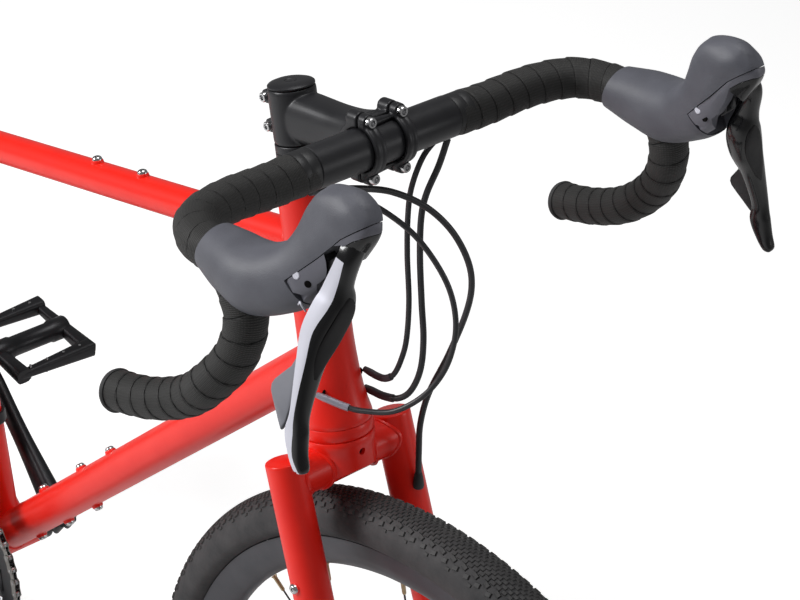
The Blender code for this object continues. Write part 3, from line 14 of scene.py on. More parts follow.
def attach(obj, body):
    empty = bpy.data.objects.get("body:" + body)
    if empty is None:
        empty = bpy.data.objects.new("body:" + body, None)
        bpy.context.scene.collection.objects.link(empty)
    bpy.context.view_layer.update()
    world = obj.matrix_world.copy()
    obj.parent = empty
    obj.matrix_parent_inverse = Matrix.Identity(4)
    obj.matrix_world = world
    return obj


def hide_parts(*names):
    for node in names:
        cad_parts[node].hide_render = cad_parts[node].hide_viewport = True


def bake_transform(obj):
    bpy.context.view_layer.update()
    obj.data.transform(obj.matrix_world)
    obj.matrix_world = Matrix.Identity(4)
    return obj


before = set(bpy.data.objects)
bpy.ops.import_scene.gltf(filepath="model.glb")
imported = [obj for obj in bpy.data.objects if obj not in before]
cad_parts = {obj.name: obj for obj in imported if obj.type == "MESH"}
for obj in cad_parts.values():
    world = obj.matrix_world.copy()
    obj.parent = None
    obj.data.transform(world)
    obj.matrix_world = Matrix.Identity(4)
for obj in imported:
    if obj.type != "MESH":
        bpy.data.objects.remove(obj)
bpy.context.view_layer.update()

X_AXIS = Vector((1.0, 0.0, 0.0))
Y_AXIS = Vector((0.0, 1.0, 0.0))
Z_AXIS = Vector((0.0, 0.0, 1.0))
TYRE_RADIUS = 0.355
TYRE_HALF = 0.0232
FRONT_AXLE = Vector((0.525, 0.0, TYRE_RADIUS))
REAR_AXLE = Vector((-0.525, 0.0, TYRE_RADIUS))
HEAD_ANGLE = math.radians(71.1)
SEAT_ANGLE = math.radians(73.5)
STEER_UP = Vector((-math.cos(HEAD_ANGLE), 0.0, math.sin(HEAD_ANGLE)))
STEER_AHEAD = Vector((math.sin(HEAD_ANGLE), 0.0, math.cos(HEAD_ANGLE)))
STEER_FOOT = FRONT_AXLE - STEER_AHEAD * 0.0482
SEAT_UP = Vector((-math.cos(SEAT_ANGLE), 0.0, math.sin(SEAT_ANGLE)))
SEAT_AHEAD = Vector((SEAT_UP.z, 0.0, -SEAT_UP.x))
BB = Vector((-0.092, 0.0, 0.295))
BAR_CENTRE = STEER_FOOT + STEER_UP * 0.652 + STEER_AHEAD * 0.0934
CLAMP_TILT = math.radians(5.0)
CLAMP_UP = STEER_UP * math.cos(CLAMP_TILT) + STEER_AHEAD * math.sin(CLAMP_TILT)
CLAMP_AHEAD = STEER_AHEAD * math.cos(CLAMP_TILT) - STEER_UP * math.sin(CLAMP_TILT)

# Sizes that more than one piece uses
LUG_RISE = 0.0212
BAND_SIDE = 0.0147
PINCH_RISES = (0.65, 0.6725)
TOP_TUBE_RADIUS, DOWN_TUBE_RADIUS, SEAT_TUBE_RADIUS, SHELL_RADIUS = 0.0138, 0.018, 0.016, 0.021
LEG_SIDE = 0.0545
DISC_SETBACK = 0.0153
DISC_THICK = 0.0018
CRANK_LENGTH = 0.1725
SADDLE_LENGTH = 0.272
TAPE_RADIUS = 0.0156
TAPE_START = 0.066
TAPE_TURN = 0.0158
SIDES = ((-1, "right"), (1, "left"))


# Materials

def linear(red, green, blue):
    """A colour given from 0 to 255 as it is seen, for a shader socket."""
    out = []
    for value in (red, green, blue):
        c = value / 255.0
        out.append(c / 12.92 if c <= 0.04045 else ((c + 0.055) / 1.055) ** 2.4)
    return (*out, 1.0)


def node_group(name, inputs, *outputs):
    """An empty shader node group with number sockets, its input node and its output node."""
    tree = bpy.data.node_groups.new(name, "ShaderNodeTree")
    for label, value in inputs.items():
        tree.interface.new_socket(label, in_out="INPUT", socket_type="NodeSocketFloat").default_value = value
    for label in outputs:
        tree.interface.new_socket(label, in_out="OUTPUT", socket_type="NodeSocketFloat")
    return tree, tree.nodes.new("NodeGroupInput"), tree.nodes.new("NodeGroupOutput")


def feed(tree, value, socket):
    """A number, or the output of another node, put into a socket."""
    if isinstance(value, (int, float)):
        socket.default_value = value
    else:
        tree.links.new(value, socket)


def maths(tree, operation, *values):
    """One Math node; numbers and sockets may be mixed."""
    node = tree.nodes.new("ShaderNodeMath")
    node.operation = operation
    for value, socket in zip(values, node.inputs):
        feed(tree, value, socket)
    return node.outputs[0]


def noise(tree, vector, scale, detail, rough=0.5):
    """The height of a Noise texture; scale may be a socket."""
    node = tree.nodes.new("ShaderNodeTexNoise")
    for label, value in (("Vector", vector), ("Scale", scale), ("Detail", detail), ("Roughness", rough)):
        feed(tree, value, node.inputs[label])
    return node.outputs["Fac"]


def spread(tree, value, low, high, to_low, to_high):
    """A Map Range node, clamped."""
    node = tree.nodes.new("ShaderNodeMapRange")
    labels = ("Value", "From Min", "From Max", "To Min", "To Max")
    for label, number in zip(labels, (value, low, high, to_low, to_high)):
        feed(tree, number, node.inputs[label])
    return node.outputs["Result"]


def place_on_piece(tree):
    """The place on the piece, in its own space."""
    return tree.nodes.new("ShaderNodeTexCoord").outputs["Object"]


def split_up(tree, vector):
    """The three numbers of a vector, by their letters."""
    node = tree.nodes.new("ShaderNodeSeparateXYZ")
    tree.links.new(vector, node.inputs[0])
    return node.outputs


def make_grain_group():
    """Two sizes of grain on the piece, as a height, and a slow cloud for its tone."""
    tree, given, out = node_group("surface_grain", {"Fine Scale": 900.0, "Coarse Scale": 60.0}, "Height", "Cloud")
    place = place_on_piece(tree)
    fine = noise(tree, place, given.outputs["Fine Scale"], 3.0, 0.6)
    coarse = noise(tree, place, given.outputs["Coarse Scale"], 4.0, 0.55)
    tree.links.new(maths(tree, "MULTIPLY_ADD", coarse, 0.35, fine), out.inputs["Height"])
    tree.links.new(coarse, out.inputs["Cloud"])
    return tree


def make_pebble_group():
    """Close round pebbles, as on moulded rubber grips."""
    tree, given, out = node_group("rubber_pebble", {"Scale": 1500.0}, "Height", "Cloud")
    place = place_on_piece(tree)
    cells = tree.nodes.new("ShaderNodeTexVoronoi")
    cells.feature = "SMOOTH_F1"
    tree.links.new(place, cells.inputs["Vector"])
    tree.links.new(given.outputs["Scale"], cells.inputs["Scale"])
    tree.links.new(cells.outputs["Distance"], out.inputs["Height"])
    tree.links.new(noise(tree, place, 45.0, 3.0), out.inputs["Cloud"])
    return tree


def make_wrap_group():
    """The wrapped tape: ribs across it, and a seam where each turn covers the last, as relief, with masks for painted
    shade in the rib grooves and along the seams and a painted highlight on the rib crests.
    """
    tree, given, out = node_group("tape_wrap", {"Turn": TAPE_TURN, "Rib": 0.00125, "Break": 46.0},
                                  "Height", "Seam", "Rib Shading")
    wrap = tree.nodes.new("ShaderNodeAttribute")
    wrap.attribute_name = "wrap"
    parts = split_up(tree, wrap.outputs["Vector"])
    along = parts["Z"]
    around = maths(tree, "DIVIDE", maths(tree, "ARCTAN2", parts["Y"], parts["X"]), 2 * math.pi)
    turns = maths(tree, "SUBTRACT", maths(tree, "DIVIDE", along, given.outputs["Turn"]), around)
    edge = maths(tree, "PINGPONG", maths(tree, "FRACT", turns), 0.5)
    seam = spread(tree, edge, 0.0, 0.035, 1.0, 0.0)
    rib_angle = maths(tree, "MULTIPLY", maths(tree, "DIVIDE", along, given.outputs["Rib"]), 2 * math.pi)
    break_angle = maths(tree, "MULTIPLY", given.outputs["Break"], 2 * math.pi)
    breaks = maths(tree, "SINE", maths(tree, "MULTIPLY", around, break_angle))
    gaps = maths(tree, "MULTIPLY", maths(tree, "GREATER_THAN", breaks, 0.45), 0.75)
    ribs = spread(tree, maths(tree, "SINE", rib_angle), -0.4, 0.9, 0.0, 1.0)
    rib = maths(tree, "MULTIPLY", ribs, maths(tree, "SUBTRACT", 1.0, gaps))
    tree.links.new(maths(tree, "MULTIPLY_ADD", seam, -2.2, rib), out.inputs["Height"])
    # the seam and rib masks also go out for painted shade and a painted highlight in the tape's colour
    tree.links.new(seam, out.inputs["Seam"])
    tree.links.new(rib, out.inputs["Rib Shading"])
    return tree


def make_casing_group():
    """The tyre's wall: threads that cross under the rubber, and moulding marks round it."""
    tree, given, out = node_group("tyre_wall", {"Threads": 700.0}, "Height", "Dust")
    place = place_on_piece(tree)
    parts = split_up(tree, place)
    waves = []
    for operation in ("ADD", "SUBTRACT"):
        slope = maths(tree, operation, parts["X"], parts["Z"])
        waves.append(maths(tree, "SINE", maths(tree, "MULTIPLY", slope, given.outputs["Threads"])))
    lines = maths(tree, "MULTIPLY", *waves)
    rough = noise(tree, place, 300.0, 4.0, 0.6)
    tree.links.new(maths(tree, "MULTIPLY_ADD", lines, 0.25, rough), out.inputs["Height"])
    tree.links.new(noise(tree, place, 26.0, 5.0, 0.6), out.inputs["Dust"])
    return tree


GRAIN = make_grain_group()
PEBBLE = make_pebble_group()
WRAP = make_wrap_group()
CASING = make_casing_group()
USUAL_SLOT = {}


def plain_material(name, colour, roughness, metallic=0.0, coat=0.0, coat_roughness=0.1, specular=0.5):
    """A material with its Principled shader set, and the tree to add to."""
    material = bpy.data.materials.new(name)
    material.use_nodes = True
    shader = material.node_tree.nodes["Principled BSDF"]
    for label, value in (("Base Color", colour), ("Roughness", roughness), ("Metallic", metallic),
                         ("Coat Weight", coat), ("Coat Roughness", coat_roughness),
                         ("Specular IOR Level", specular)):
        shader.inputs[label].default_value = value
    return material, material.node_tree, shader


def placed_group(tree, group, **values):
    """A node group in a material, with its values set; spaces stand for low lines."""
    node = tree.nodes.new("ShaderNodeGroup")
    node.node_tree = group
    for label, value in values.items():
        node.inputs[label.replace("_", " ")].default_value = value
    return node


def two_tone(tree, shader, mask, first, second):
    """Base colour that goes from one tone to another with a mask."""
    mix = tree.nodes.new("ShaderNodeMix")
    mix.data_type = "RGBA"
    mix.inputs["A"].default_value = first
    mix.inputs["B"].default_value = second
    tree.links.new(mask, mix.inputs["Factor"])
    tree.links.new(mix.outputs["Result"], shader.inputs["Base Color"])


def bumped(tree, shader, height, microns):
    """A Bump node from a height to the shader's normal; its depth is in thousandths of a millimetre."""
    bump = tree.nodes.new("ShaderNodeBump")
    bump.inputs["Strength"].default_value = 1.0
    bump.inputs["Distance"].default_value = microns / 1e6
    tree.links.new(height, bump.inputs["Height"])
    tree.links.new(bump.outputs["Normal"], shader.inputs["Normal"])


def grained(name, slot, colour, second, roughness, rough_range, fine, coarse, microns, **finish):
    """A material with grain, two tones in slow clouds and a roughness that varies."""
    first, second = linear(*colour), linear(*second)
    material, tree, shader = plain_material(name, first, roughness, **finish)
    grain = placed_group(tree, GRAIN, Fine_Scale=fine, Coarse_Scale=coarse)
    cloud = grain.outputs["Cloud"]
    two_tone(tree, shader, spread(tree, cloud, 0.3, 0.7, 0.0, 1.0), first, second)
    rough = spread(tree, cloud, 0.25, 0.75, roughness - rough_range, roughness + rough_range)
    tree.links.new(rough, shader.inputs["Roughness"])
    bumped(tree, shader, grain.outputs["Height"], microns)
    USUAL_SLOT[material.name] = slot
    return material


def patterned(name, slot, base, tones, roughness, specular, microns, group, mask, low, high, **values):
    """A material that takes its relief and the mask of its two tones from a pattern."""
    material, tree, shader = plain_material(name, linear(*base), roughness, specular=specular)
    pattern = placed_group(tree, group, **values)
    two_tone(tree, shader, spread(tree, pattern.outputs[mask], low, high, 0.0, 1.0),
             linear(*tones[0]), linear(*tones[1]))
    bumped(tree, shader, pattern.outputs["Height"], microns)
    USUAL_SLOT[material.name] = slot
    return material


def make_tape_material():
    """Cushioned tape with ribs across it and its overlaps; its colour has a painted highlight on the rib crests and
    painted shade in the grooves and along the seams.
    """
    material, tree, shader = plain_material("bar_tape_ribbed", linear(58, 57, 56), 0.62, specular=0.4)
    wrap = placed_group(tree, WRAP)
    # painted light: the rib crests lighter and the grooves and seams darker in the base colour
    tone = maths(tree, "SUBTRACT", maths(tree, "MULTIPLY", wrap.outputs["Rib Shading"], 0.55),
                 maths(tree, "MULTIPLY", wrap.outputs["Seam"], 0.9))
    two_tone(tree, shader, maths(tree, "ADD", tone, 0.3), linear(8, 8, 8), linear(72, 71, 70))
    bumped(tree, shader, wrap.outputs["Height"], 500)
    USUAL_SLOT[material.name] = "bar_tape"
    return material


PAINT = grained("orange_paint_satin", "orange_paint", (250, 36, 20), (243, 30, 17), 0.38, 0.04, 1400, 30, 12,
                coat=0.22, coat_roughness=0.22, specular=0.32)
STEM_BLACK = grained("blasted_black_alloy", "black_alloy", (34, 34, 37), (40, 40, 43), 0.4, 0.05, 2600, 40, 14,
                     metallic=0.25)
ALLOY_BLACK = grained("anodised_black_alloy", "black_alloy", (30, 30, 33), (38, 38, 41), 0.36, 0.06, 1800, 50, 12,
                      metallic=0.4)
GLOSS_BLACK = grained("gloss_black_lacquer", "black_gloss", (14, 14, 16), (18, 18, 20), 0.23, 0.04, 600, 40, 4,
                      coat=0.35, coat_roughness=0.05, specular=0.3)
MATTE_INSET = grained("matte_black_inset", "rubber", (24, 23, 25), (28, 27, 29), 0.55, 0.05, 2400, 60, 10,
                      specular=0.3)
SILVER = grained("satin_silver_facet", "bright_steel", (220, 220, 231), (214, 214, 225), 0.52, 0.04, 2200, 30, 6,
                 metallic=0.15, specular=0.25)
COVER_PLASTIC = grained("cover_plastic", "black_gloss", (98, 98, 107), (106, 106, 115), 0.46, 0.05, 2000, 60, 20)
PADDLE_GREY = grained("paddle_grey", "hood_rubber", (128, 129, 137), (120, 121, 129), 0.42, 0.05, 1800, 60, 20)
CHROME = grained("bolt_steel", "bright_steel", (214, 214, 214), (196, 196, 198), 0.17, 0.05, 900, 200, 4,
                 metallic=1.0)
STEEL = grained("brushed_steel", "bright_steel", (176, 176, 178), (150, 150, 153), 0.3, 0.06, 1200, 120, 10,
                metallic=1.0)
CHAIN_STEEL = grained("chain_steel", "dark_steel", (150, 148, 144), (112, 110, 106), 0.34, 0.08, 900, 160, 10,
                      metallic=1.0)
DARK_STEEL = grained("dark_steel", "dark_steel", (96, 96, 98), (74, 74, 76), 0.4, 0.06, 1500, 90, 10, metallic=0.9)
BRASS = grained("spoke_nipple", "bright_steel", (190, 168, 132), (170, 150, 118), 0.32, 0.05, 900, 300, 10,
                metallic=1.0)
CABLE_BLACK = grained("cable_housing_black", "cable_housing", (38, 38, 41), (48, 48, 51), 0.4, 0.05, 1500, 80, 10)
FERRULE_GREY = grained("ferrule_grey", "dark_steel", (160, 158, 170), (148, 146, 158), 0.38, 0.05, 1500, 90, 10,
                       metallic=0.35)
FERRULE_DARK = grained("ferrule_dark", "dark_steel", (70, 62, 68), (60, 54, 60), 0.42, 0.05, 1500, 90, 10)
RIM_GREY = grained("rim_satin_grey", "rim_alloy", (70, 70, 75), (62, 62, 67), 0.4, 0.04, 1600, 30, 10,
                   metallic=0.35)
TREAD = grained("tyre_rubber_tread", "rubber", (44, 43, 44), (56, 55, 55), 0.62, 0.06, 700, 40, 80)
PLAIN_RUBBER = grained("plug_rubber", "rubber", (44, 44, 45), (52, 52, 53), 0.62, 0.06, 1500, 70, 30)
# painted shade: a near-black, barely reflecting material for discs and rings that stand for the dark inside of holes
# and cable mouths
PAINTED_HOLE_SHADE = grained("painted_shade_recess", None, (10, 9, 9), (14, 12, 12), 0.7, 0.05, 900, 60, 10, specular=0.05)
TAPE_GLOSS = grained("finishing_tape", "bar_tape", (28, 28, 30), (34, 34, 36), 0.46, 0.03, 240, 90, 10)
HOOD = patterned("hood_rubber_matte", "hood_rubber", (84, 85, 88), ((80, 81, 89), (92, 93, 101)), 0.52, 0.5, 120,
                 PEBBLE, "Cloud", 0.3, 0.7, Scale=1700)
TAPE = make_tape_material()
TYRE_WALL = patterned("tyre_rubber_wall", "rubber", (74, 73, 75), ((46, 46, 48), (70, 68, 69)), 0.68, 0.35, 120,
                      CASING, "Dust", 0.35, 0.65)
SADDLE_SKIN = patterned("saddle_covering", "saddle_cover", (40, 40, 42), ((36, 36, 38), (50, 50, 52)), 0.55, 0.45,
                        200, PEBBLE, "Cloud", 0.3, 0.7, Scale=900)


# Shapes

def steer_point(up, ahead=0.0, side=0.0):
    """A point given along the steering axis, square to it, and sideways."""
    return STEER_FOOT + STEER_UP * up + STEER_AHEAD * ahead + Y_AXIS * side


def seat_point(up, ahead=0.0, side=0.0):
    """A point along the seat tube from the bottom bracket."""
    return BB + SEAT_UP * up + SEAT_AHEAD * ahead + Y_AXIS * side


def wheel_way(angle, reach=1.0):
    """A vector in X and Z at an angle from straight ahead."""
    return Vector((reach * math.cos(angle), 0.0, reach * math.sin(angle)))


def pairs(*tenths):
    """Points of two numbers in metres, from tenths of a millimetre."""
    metres = [number / 10000 for number in tenths]
    return list(zip(metres[::2], metres[1::2]))


def triples(*tenths):
    """Points of three numbers in metres, from tenths of a millimetre."""
    metres = [number / 10000 for number in tenths]
    return list(zip(metres[::3], metres[1::3], metres[2::3]))


def sided(points, sign):
    """Points of three numbers, with Y turned to one side."""
    return [(x, sign * y, z) for x, y, z in points]


def mirrored(half):
    """The second half of a profile that is the same on both sides, from its first half."""
    return [(r, -h) for r, h in reversed(half)]


def both_ways(half):
    """A whole profile that is the same on both sides, from its first half."""
    return half + mirrored(half)


TOP_TUBE_FRONT, TOP_TUBE_BACK, DOWN_TUBE_FRONT = steer_point(0.557), seat_point(0.4205), steer_point(0.465)


def smooth_curve(points, per_span=8):
    """Points on a Catmull-Rom curve through the given ones; tuples of any length."""
    rows = [tuple(p) for p in points]
    first = tuple(2 * a - b for a, b in zip(rows[0], rows[1]))
    last = tuple(2 * a - b for a, b in zip(rows[-1], rows[-2]))
    ends = [first] + rows + [last]
    out = []
    for k in range(1, len(ends) - 2):
        for step in range(per_span):
            t = step / per_span
            out.append(tuple(
                0.5 * (2 * b + (c - a) * t + (2 * a - 5 * b + 4 * c - d) * t * t
                       + (3 * b - a - 3 * c + d) * t * t * t)
                for a, b, c, d in zip(*ends[k - 1:k + 3])))
    return out + [rows[-1]]


def even_points(points, spacing):
    """Vectors at an even spacing along a smooth curve through a route."""
    fine = [Vector(p) for p in smooth_curve(points, 24)]
    length = sum((b - a).length for a, b in zip(fine, fine[1:]))
    count = max(2, round(length / spacing))
    out = [fine[0]]
    goal = length / count
    run = 0.0
    for a, b in zip(fine, fine[1:]):
        step = (b - a).length
        while run + step >= goal * len(out) and len(out) < count:
            out.append(a.lerp(b, (goal * len(out) - run) / step))
        run += step
    return out + [fine[-1]]


def frames_along(points, side=Y_AXIS):
    """Tangent and two normals at each point, turned as little as the path allows."""
    rows = []
    for k, point in enumerate(points):
        before = points[max(k - 1, 0)]
        after = points[min(k + 1, len(points) - 1)]
        tangent = (after - before).normalized()
        side = (side - tangent * side.dot(tangent)).normalized()
        rows.append((point, tangent, side, tangent.cross(side)))
    return rows


def loft(sections, capped=True, along=None):
    """A skin drawn from one section to the next; along, if given, is kept with the angle for patterns."""
    bm = bmesh.new()
    count = len(sections[0])
    mark = bm.verts.layers.float_vector.new("wrap") if along else None
    loop = [bm.verts.new(p) for p in sections[0]]
    edges = [bm.edges.new((loop[k], loop[(k + 1) % count])) for k in range(count)]
    rows = [loop]
    if capped:
        bm.faces.new(loop)
    for section in sections[1:]:
        grown = bmesh.ops.extrude_edge_only(bm, edges=edges)["geom"]
        fresh = {item for item in grown if isinstance(item, bmesh.types.BMVert)}
        edges = [item for item in grown if isinstance(item, bmesh.types.BMEdge) and fresh.issuperset(item.verts)]
        loop = [next(e.other_vert(v) for e in v.link_edges if e.other_vert(v) in fresh) for v in loop]
        for vert, point in zip(loop, section):
            vert.co = point
        rows.append(loop)
    if capped:
        bm.faces.new(loop)
    if along:
        for loop, distance in zip(rows, along):
            for k, vert in enumerate(loop):
                angle = 2 * math.pi * k / count
                vert[mark] = (math.cos(angle), math.sin(angle), distance)
    return bm


def oval(centre, first, second, wide, tall, count, power=2.0):
    """Points round a section between an ellipse and a rounded box."""
    out = []
    for k in range(count):
        angle = 2 * math.pi * k / count
        c, s = math.cos(angle), math.sin(angle)
        reach = (abs(c) ** power + abs(s) ** power) ** (-1.0 / power)
        out.append(centre + first * (wide * reach * c) + second * (tall * reach * s))
    return out


def sweep(points, radii, count=16, side=Y_AXIS, power=2.0, capped=True, along=None):
    """A rod along points; a radius may be a (side, other) pair."""
    points = [Vector(p) for p in points]
    if not isinstance(radii, (list, tuple)):
        radii = [radii] * len(points)
    sections = []
    for (point, _, first, second), radius in zip(frames_along(points, side), radii):
        wide, tall = radius if isinstance(radius, tuple) else (radius, radius)
        sections.append(oval(point, first, second, wide, tall, count, power))
    return loft(sections, capped, along)


def rod(start, end, radius, count=32, end_radius=None, edge=0.0):
    """A straight round bar or cone, its end edges rounded by edge."""
    start, end = Vector(start), Vector(end)
    axis = (end - start).normalized()
    side = Y_AXIS if abs(axis.y) < 0.9 else X_AXIS
    last = radius if end_radius is None else end_radius
    if not edge:
        return sweep([start, end], [radius, last], count, side)
    points, radii = [], []
    for foot, way, size, angles in ((start, axis, radius, (90, 60, 30, 0)), (end, -axis, last, (0, 30, 60, 90))):
        for angle in angles:
            a = math.radians(angle)
            points.append(foot + way * edge * (1 - math.sin(a) + 0.001 * (90 - angle)))
            radii.append(size - edge * (1 - math.cos(a)))
    return sweep(points, radii, count, side)


def turned(profile, centre, axis, steps=64, closed=False):
    """(radius, along) points spun round an axis."""
    axis = Vector(axis).normalized()
    side = X_AXIS if abs(axis.x) < 0.9 else Z_AXIS
    side = (side - axis * side.dot(axis)).normalized()
    bm = bmesh.new()
    verts = [bm.verts.new(centre + side * r + axis * h) for r, h in profile]
    edges = [bm.edges.new(pair) for pair in zip(verts, verts[1:])]
    if closed:
        edges.append(bm.edges.new((verts[-1], verts[0])))
    bmesh.ops.spin(bm, geom=verts + edges, cent=centre, axis=axis, angle=2 * math.pi, steps=steps, use_merge=True)
    bmesh.ops.remove_doubles(bm, verts=bm.verts, dist=1e-7)
    return bm


def thickened(bm, way):
    """Every face of a flat shape, drawn out by a vector."""
    grown = bmesh.ops.extrude_face_region(bm, geom=bm.faces[:])["geom"]
    moved = [item for item in grown if isinstance(item, bmesh.types.BMVert)]
    bmesh.ops.translate(bm, verts=moved, vec=way)


def plate(outline, centre, first, second, thickness, edge=0.0):
    """An outline in the plane of first and second, thickened both ways, with rounded rims."""
    normal = first.cross(second).normalized()
    bm = bmesh.new()
    base = centre - normal * (thickness / 2)
    bm.faces.new([bm.verts.new(base + first * u + second * v) for u, v in outline])
    thickened(bm, normal * thickness)
    bmesh.ops.recalc_face_normals(bm, faces=bm.faces)
    if edge:
        rims = [e for e in bm.edges if abs((e.verts[0].co - e.verts[1].co).normalized().dot(normal)) < 0.5]
        bmesh.ops.bevel(bm, geom=rims, offset=edge, offset_type="OFFSET", segments=2, profile=0.5,
                        affect="EDGES", material=-1, clamp_overlap=True)
    return bm


def side_plate(outline, y_low, y_high, edge=0.0):
    """An outline drawn in X and Z, between two Y values."""
    shifted = [(x, -z) for x, z in outline]
    return plate(shifted, Y_AXIS * (y_low + y_high) / 2, X_AXIS, -Z_AXIS, abs(y_high - y_low), edge)


def mesh_from(bm, name="part"):
    """A mesh with a body's faces; the body itself is given up."""
    mesh = bpy.data.meshes.new(name)
    bm.to_mesh(mesh)
    bm.free()
    return mesh


def in_scene(name, data):
    """A new object in the scene."""
    obj = bpy.data.objects.new(name, data)
    bpy.context.scene.collection.objects.link(obj)
    return obj


def joined(parts):
    """Several bodies in one mesh."""
    whole = bmesh.new()
    for part in parts:
        mesh = mesh_from(part)
        whole.from_mesh(mesh)
        bpy.data.meshes.remove(mesh)
    return whole


def circle_edges(bm, spot, radius, count):
    """The edges of a new circle that faces sideways."""
    turn = Matrix.Translation(spot) @ Matrix.Rotation(math.radians(-90), 4, "X")
    made = bmesh.ops.create_circle(bm, cap_ends=False, segments=count, radius=radius, matrix=turn)["verts"]
    return list({e for v in made for e in v.link_edges})


def as_objects(bodies):
    """Bodies as loose objects, for modifiers to work on."""
    out = []
    for source in bodies:
        bmesh.ops.recalc_face_normals(source, faces=source.faces)
        out.append(bpy.data.objects.new("part", mesh_from(source)))
    return out


def boolean_step(base, operation):
    """An exact Boolean modifier, ready for its operand."""
    step = base.modifiers.new(operation, "BOOLEAN")
    step.operation = operation
    step.solver = "EXACT"
    return step


def after_modifiers(helpers):
    """The first object's shape after its modifiers; all the objects are deleted."""
    bpy.context.view_layer.update()
    evaluated = helpers[0].evaluated_get(bpy.context.evaluated_depsgraph_get())
    result = bmesh.new()
    result.from_mesh(evaluated.to_mesh())
    evaluated.to_mesh_clear()
    for obj in helpers:
        bpy.data.objects.remove(obj, do_unlink=True)
    bmesh.ops.remove_doubles(result, verts=result.verts, dist=1e-6)
    return result


def carved(bodies, cuts, voxel=0.0, smooth=0):
    """Bodies joined by Boolean union with cuts taken out, and melted together if voxel is given."""
    helpers = as_objects([*bodies, *cuts])
    base = helpers[0]
    bpy.context.scene.collection.objects.link(base)
    for members, operation in ((helpers[1:len(bodies)], "UNION"), (helpers[len(bodies):], "DIFFERENCE")):
        if not members:
            continue
        group = bpy.data.collections.new("tools")
        for obj in members:
            group.objects.link(obj)
        step = boolean_step(base, operation)
        step.operand_type = "COLLECTION"
        step.collection = group
    if voxel:
        melt = base.modifiers.new("melt", "REMESH")
        melt.mode = "VOXEL"
        melt.voxel_size = voxel
        soft = base.modifiers.new("soft", "SMOOTH")
        soft.factor = 0.5
        soft.iterations = smooth
    return after_modifiers(helpers)


def kept_inside(form, area, cuts):
    """The part of a form that lies in an area, with cuts taken out."""
    helpers = as_objects([form, area, *cuts])
    for obj in helpers:
        bpy.context.scene.collection.objects.link(obj)
    for tool, operation in zip(helpers[1:], ("INTERSECT", *["DIFFERENCE"] * len(cuts))):
        boolean_step(helpers[0], operation).object = tool
    return after_modifiers(helpers)


def finished(name, shape, material, body, stands_for=(), slot=None, sharp=38.0, rims=0.0, levels=0, extra=()):
    """A piece in the scene: its mesh, its materials, its modifiers and the body that it rides on."""
    bm = joined(shape) if isinstance(shape, list) else shape
    bmesh.ops.remove_doubles(bm, verts=bm.verts, dist=1e-7)
    bmesh.ops.recalc_face_normals(bm, faces=bm.faces)
    mesh = mesh_from(bm, name)
    for each in (material, *extra):
        mesh.materials.append(each)
    mesh.shade_smooth()
    mesh.set_sharp_from_angle(angle=math.radians(sharp))
    obj = in_scene(name, mesh)
    if rims:
        bevel = obj.modifiers.new("rims", "BEVEL")
        bevel.width = rims
        bevel.segments = 2
        bevel.limit_method = "ANGLE"
        bevel.angle_limit = math.radians(sharp)
        bevel.harden_normals = False
    if levels:
        smooth = obj.modifiers.new("smooth", "SUBSURF")
        smooth.levels = levels
        smooth.render_levels = levels
    if body:
        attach(obj, body)
    if stands_for:
        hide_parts(*stands_for)
    slot = slot or USUAL_SLOT.get(material.name)
    return obj


def copied(node, name, material, body, rims):
    """A new piece from a copy of a solid's mesh, with its loose triangles merged and its rims rounded."""
    bm = bmesh.new()
    bm.from_mesh(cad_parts[node].data)
    bmesh.ops.remove_doubles(bm, verts=bm.verts, dist=1e-6)
    bmesh.ops.dissolve_limit(bm, angle_limit=math.radians(2.0), verts=bm.verts, edges=bm.edges)
    for face in bm.faces:
        face.material_index = 0
    return finished(name, bm, material, body, (node,), None, 30.0, rims)


def bead(foot, axis, radius, start, end, other, size=0.0019):
    """A painted weld bead on the closed line where a rod from start to end meets the outside of a tube."""
    axis = Vector(axis).normalized()
    along = (Vector(end) - Vector(start)).normalized()
    side = Y_AXIS if abs(along.y) < 0.9 else X_AXIS
    side = (side - along * side.dot(along)).normalized()
    up = along.cross(side)
    line = []
    steps = 48
    for k in range(steps + 1):
        angle = 2 * math.pi * k / steps
        point = Vector(start) + (side * math.cos(angle) + up * math.sin(angle)) * other
        gap = point - foot
        a = along - axis * along.dot(axis)
        b = gap - axis * gap.dot(axis)
        qa, qb, qc = a.dot(a), 2 * a.dot(b), b.dot(b) - radius * radius
        root = max(0.0, qb * qb - 4 * qa * qc)
        line.append(point + along * ((-qb - math.sqrt(root)) / (2 * qa)))
    return sweep(line, size, 8)


# Frame

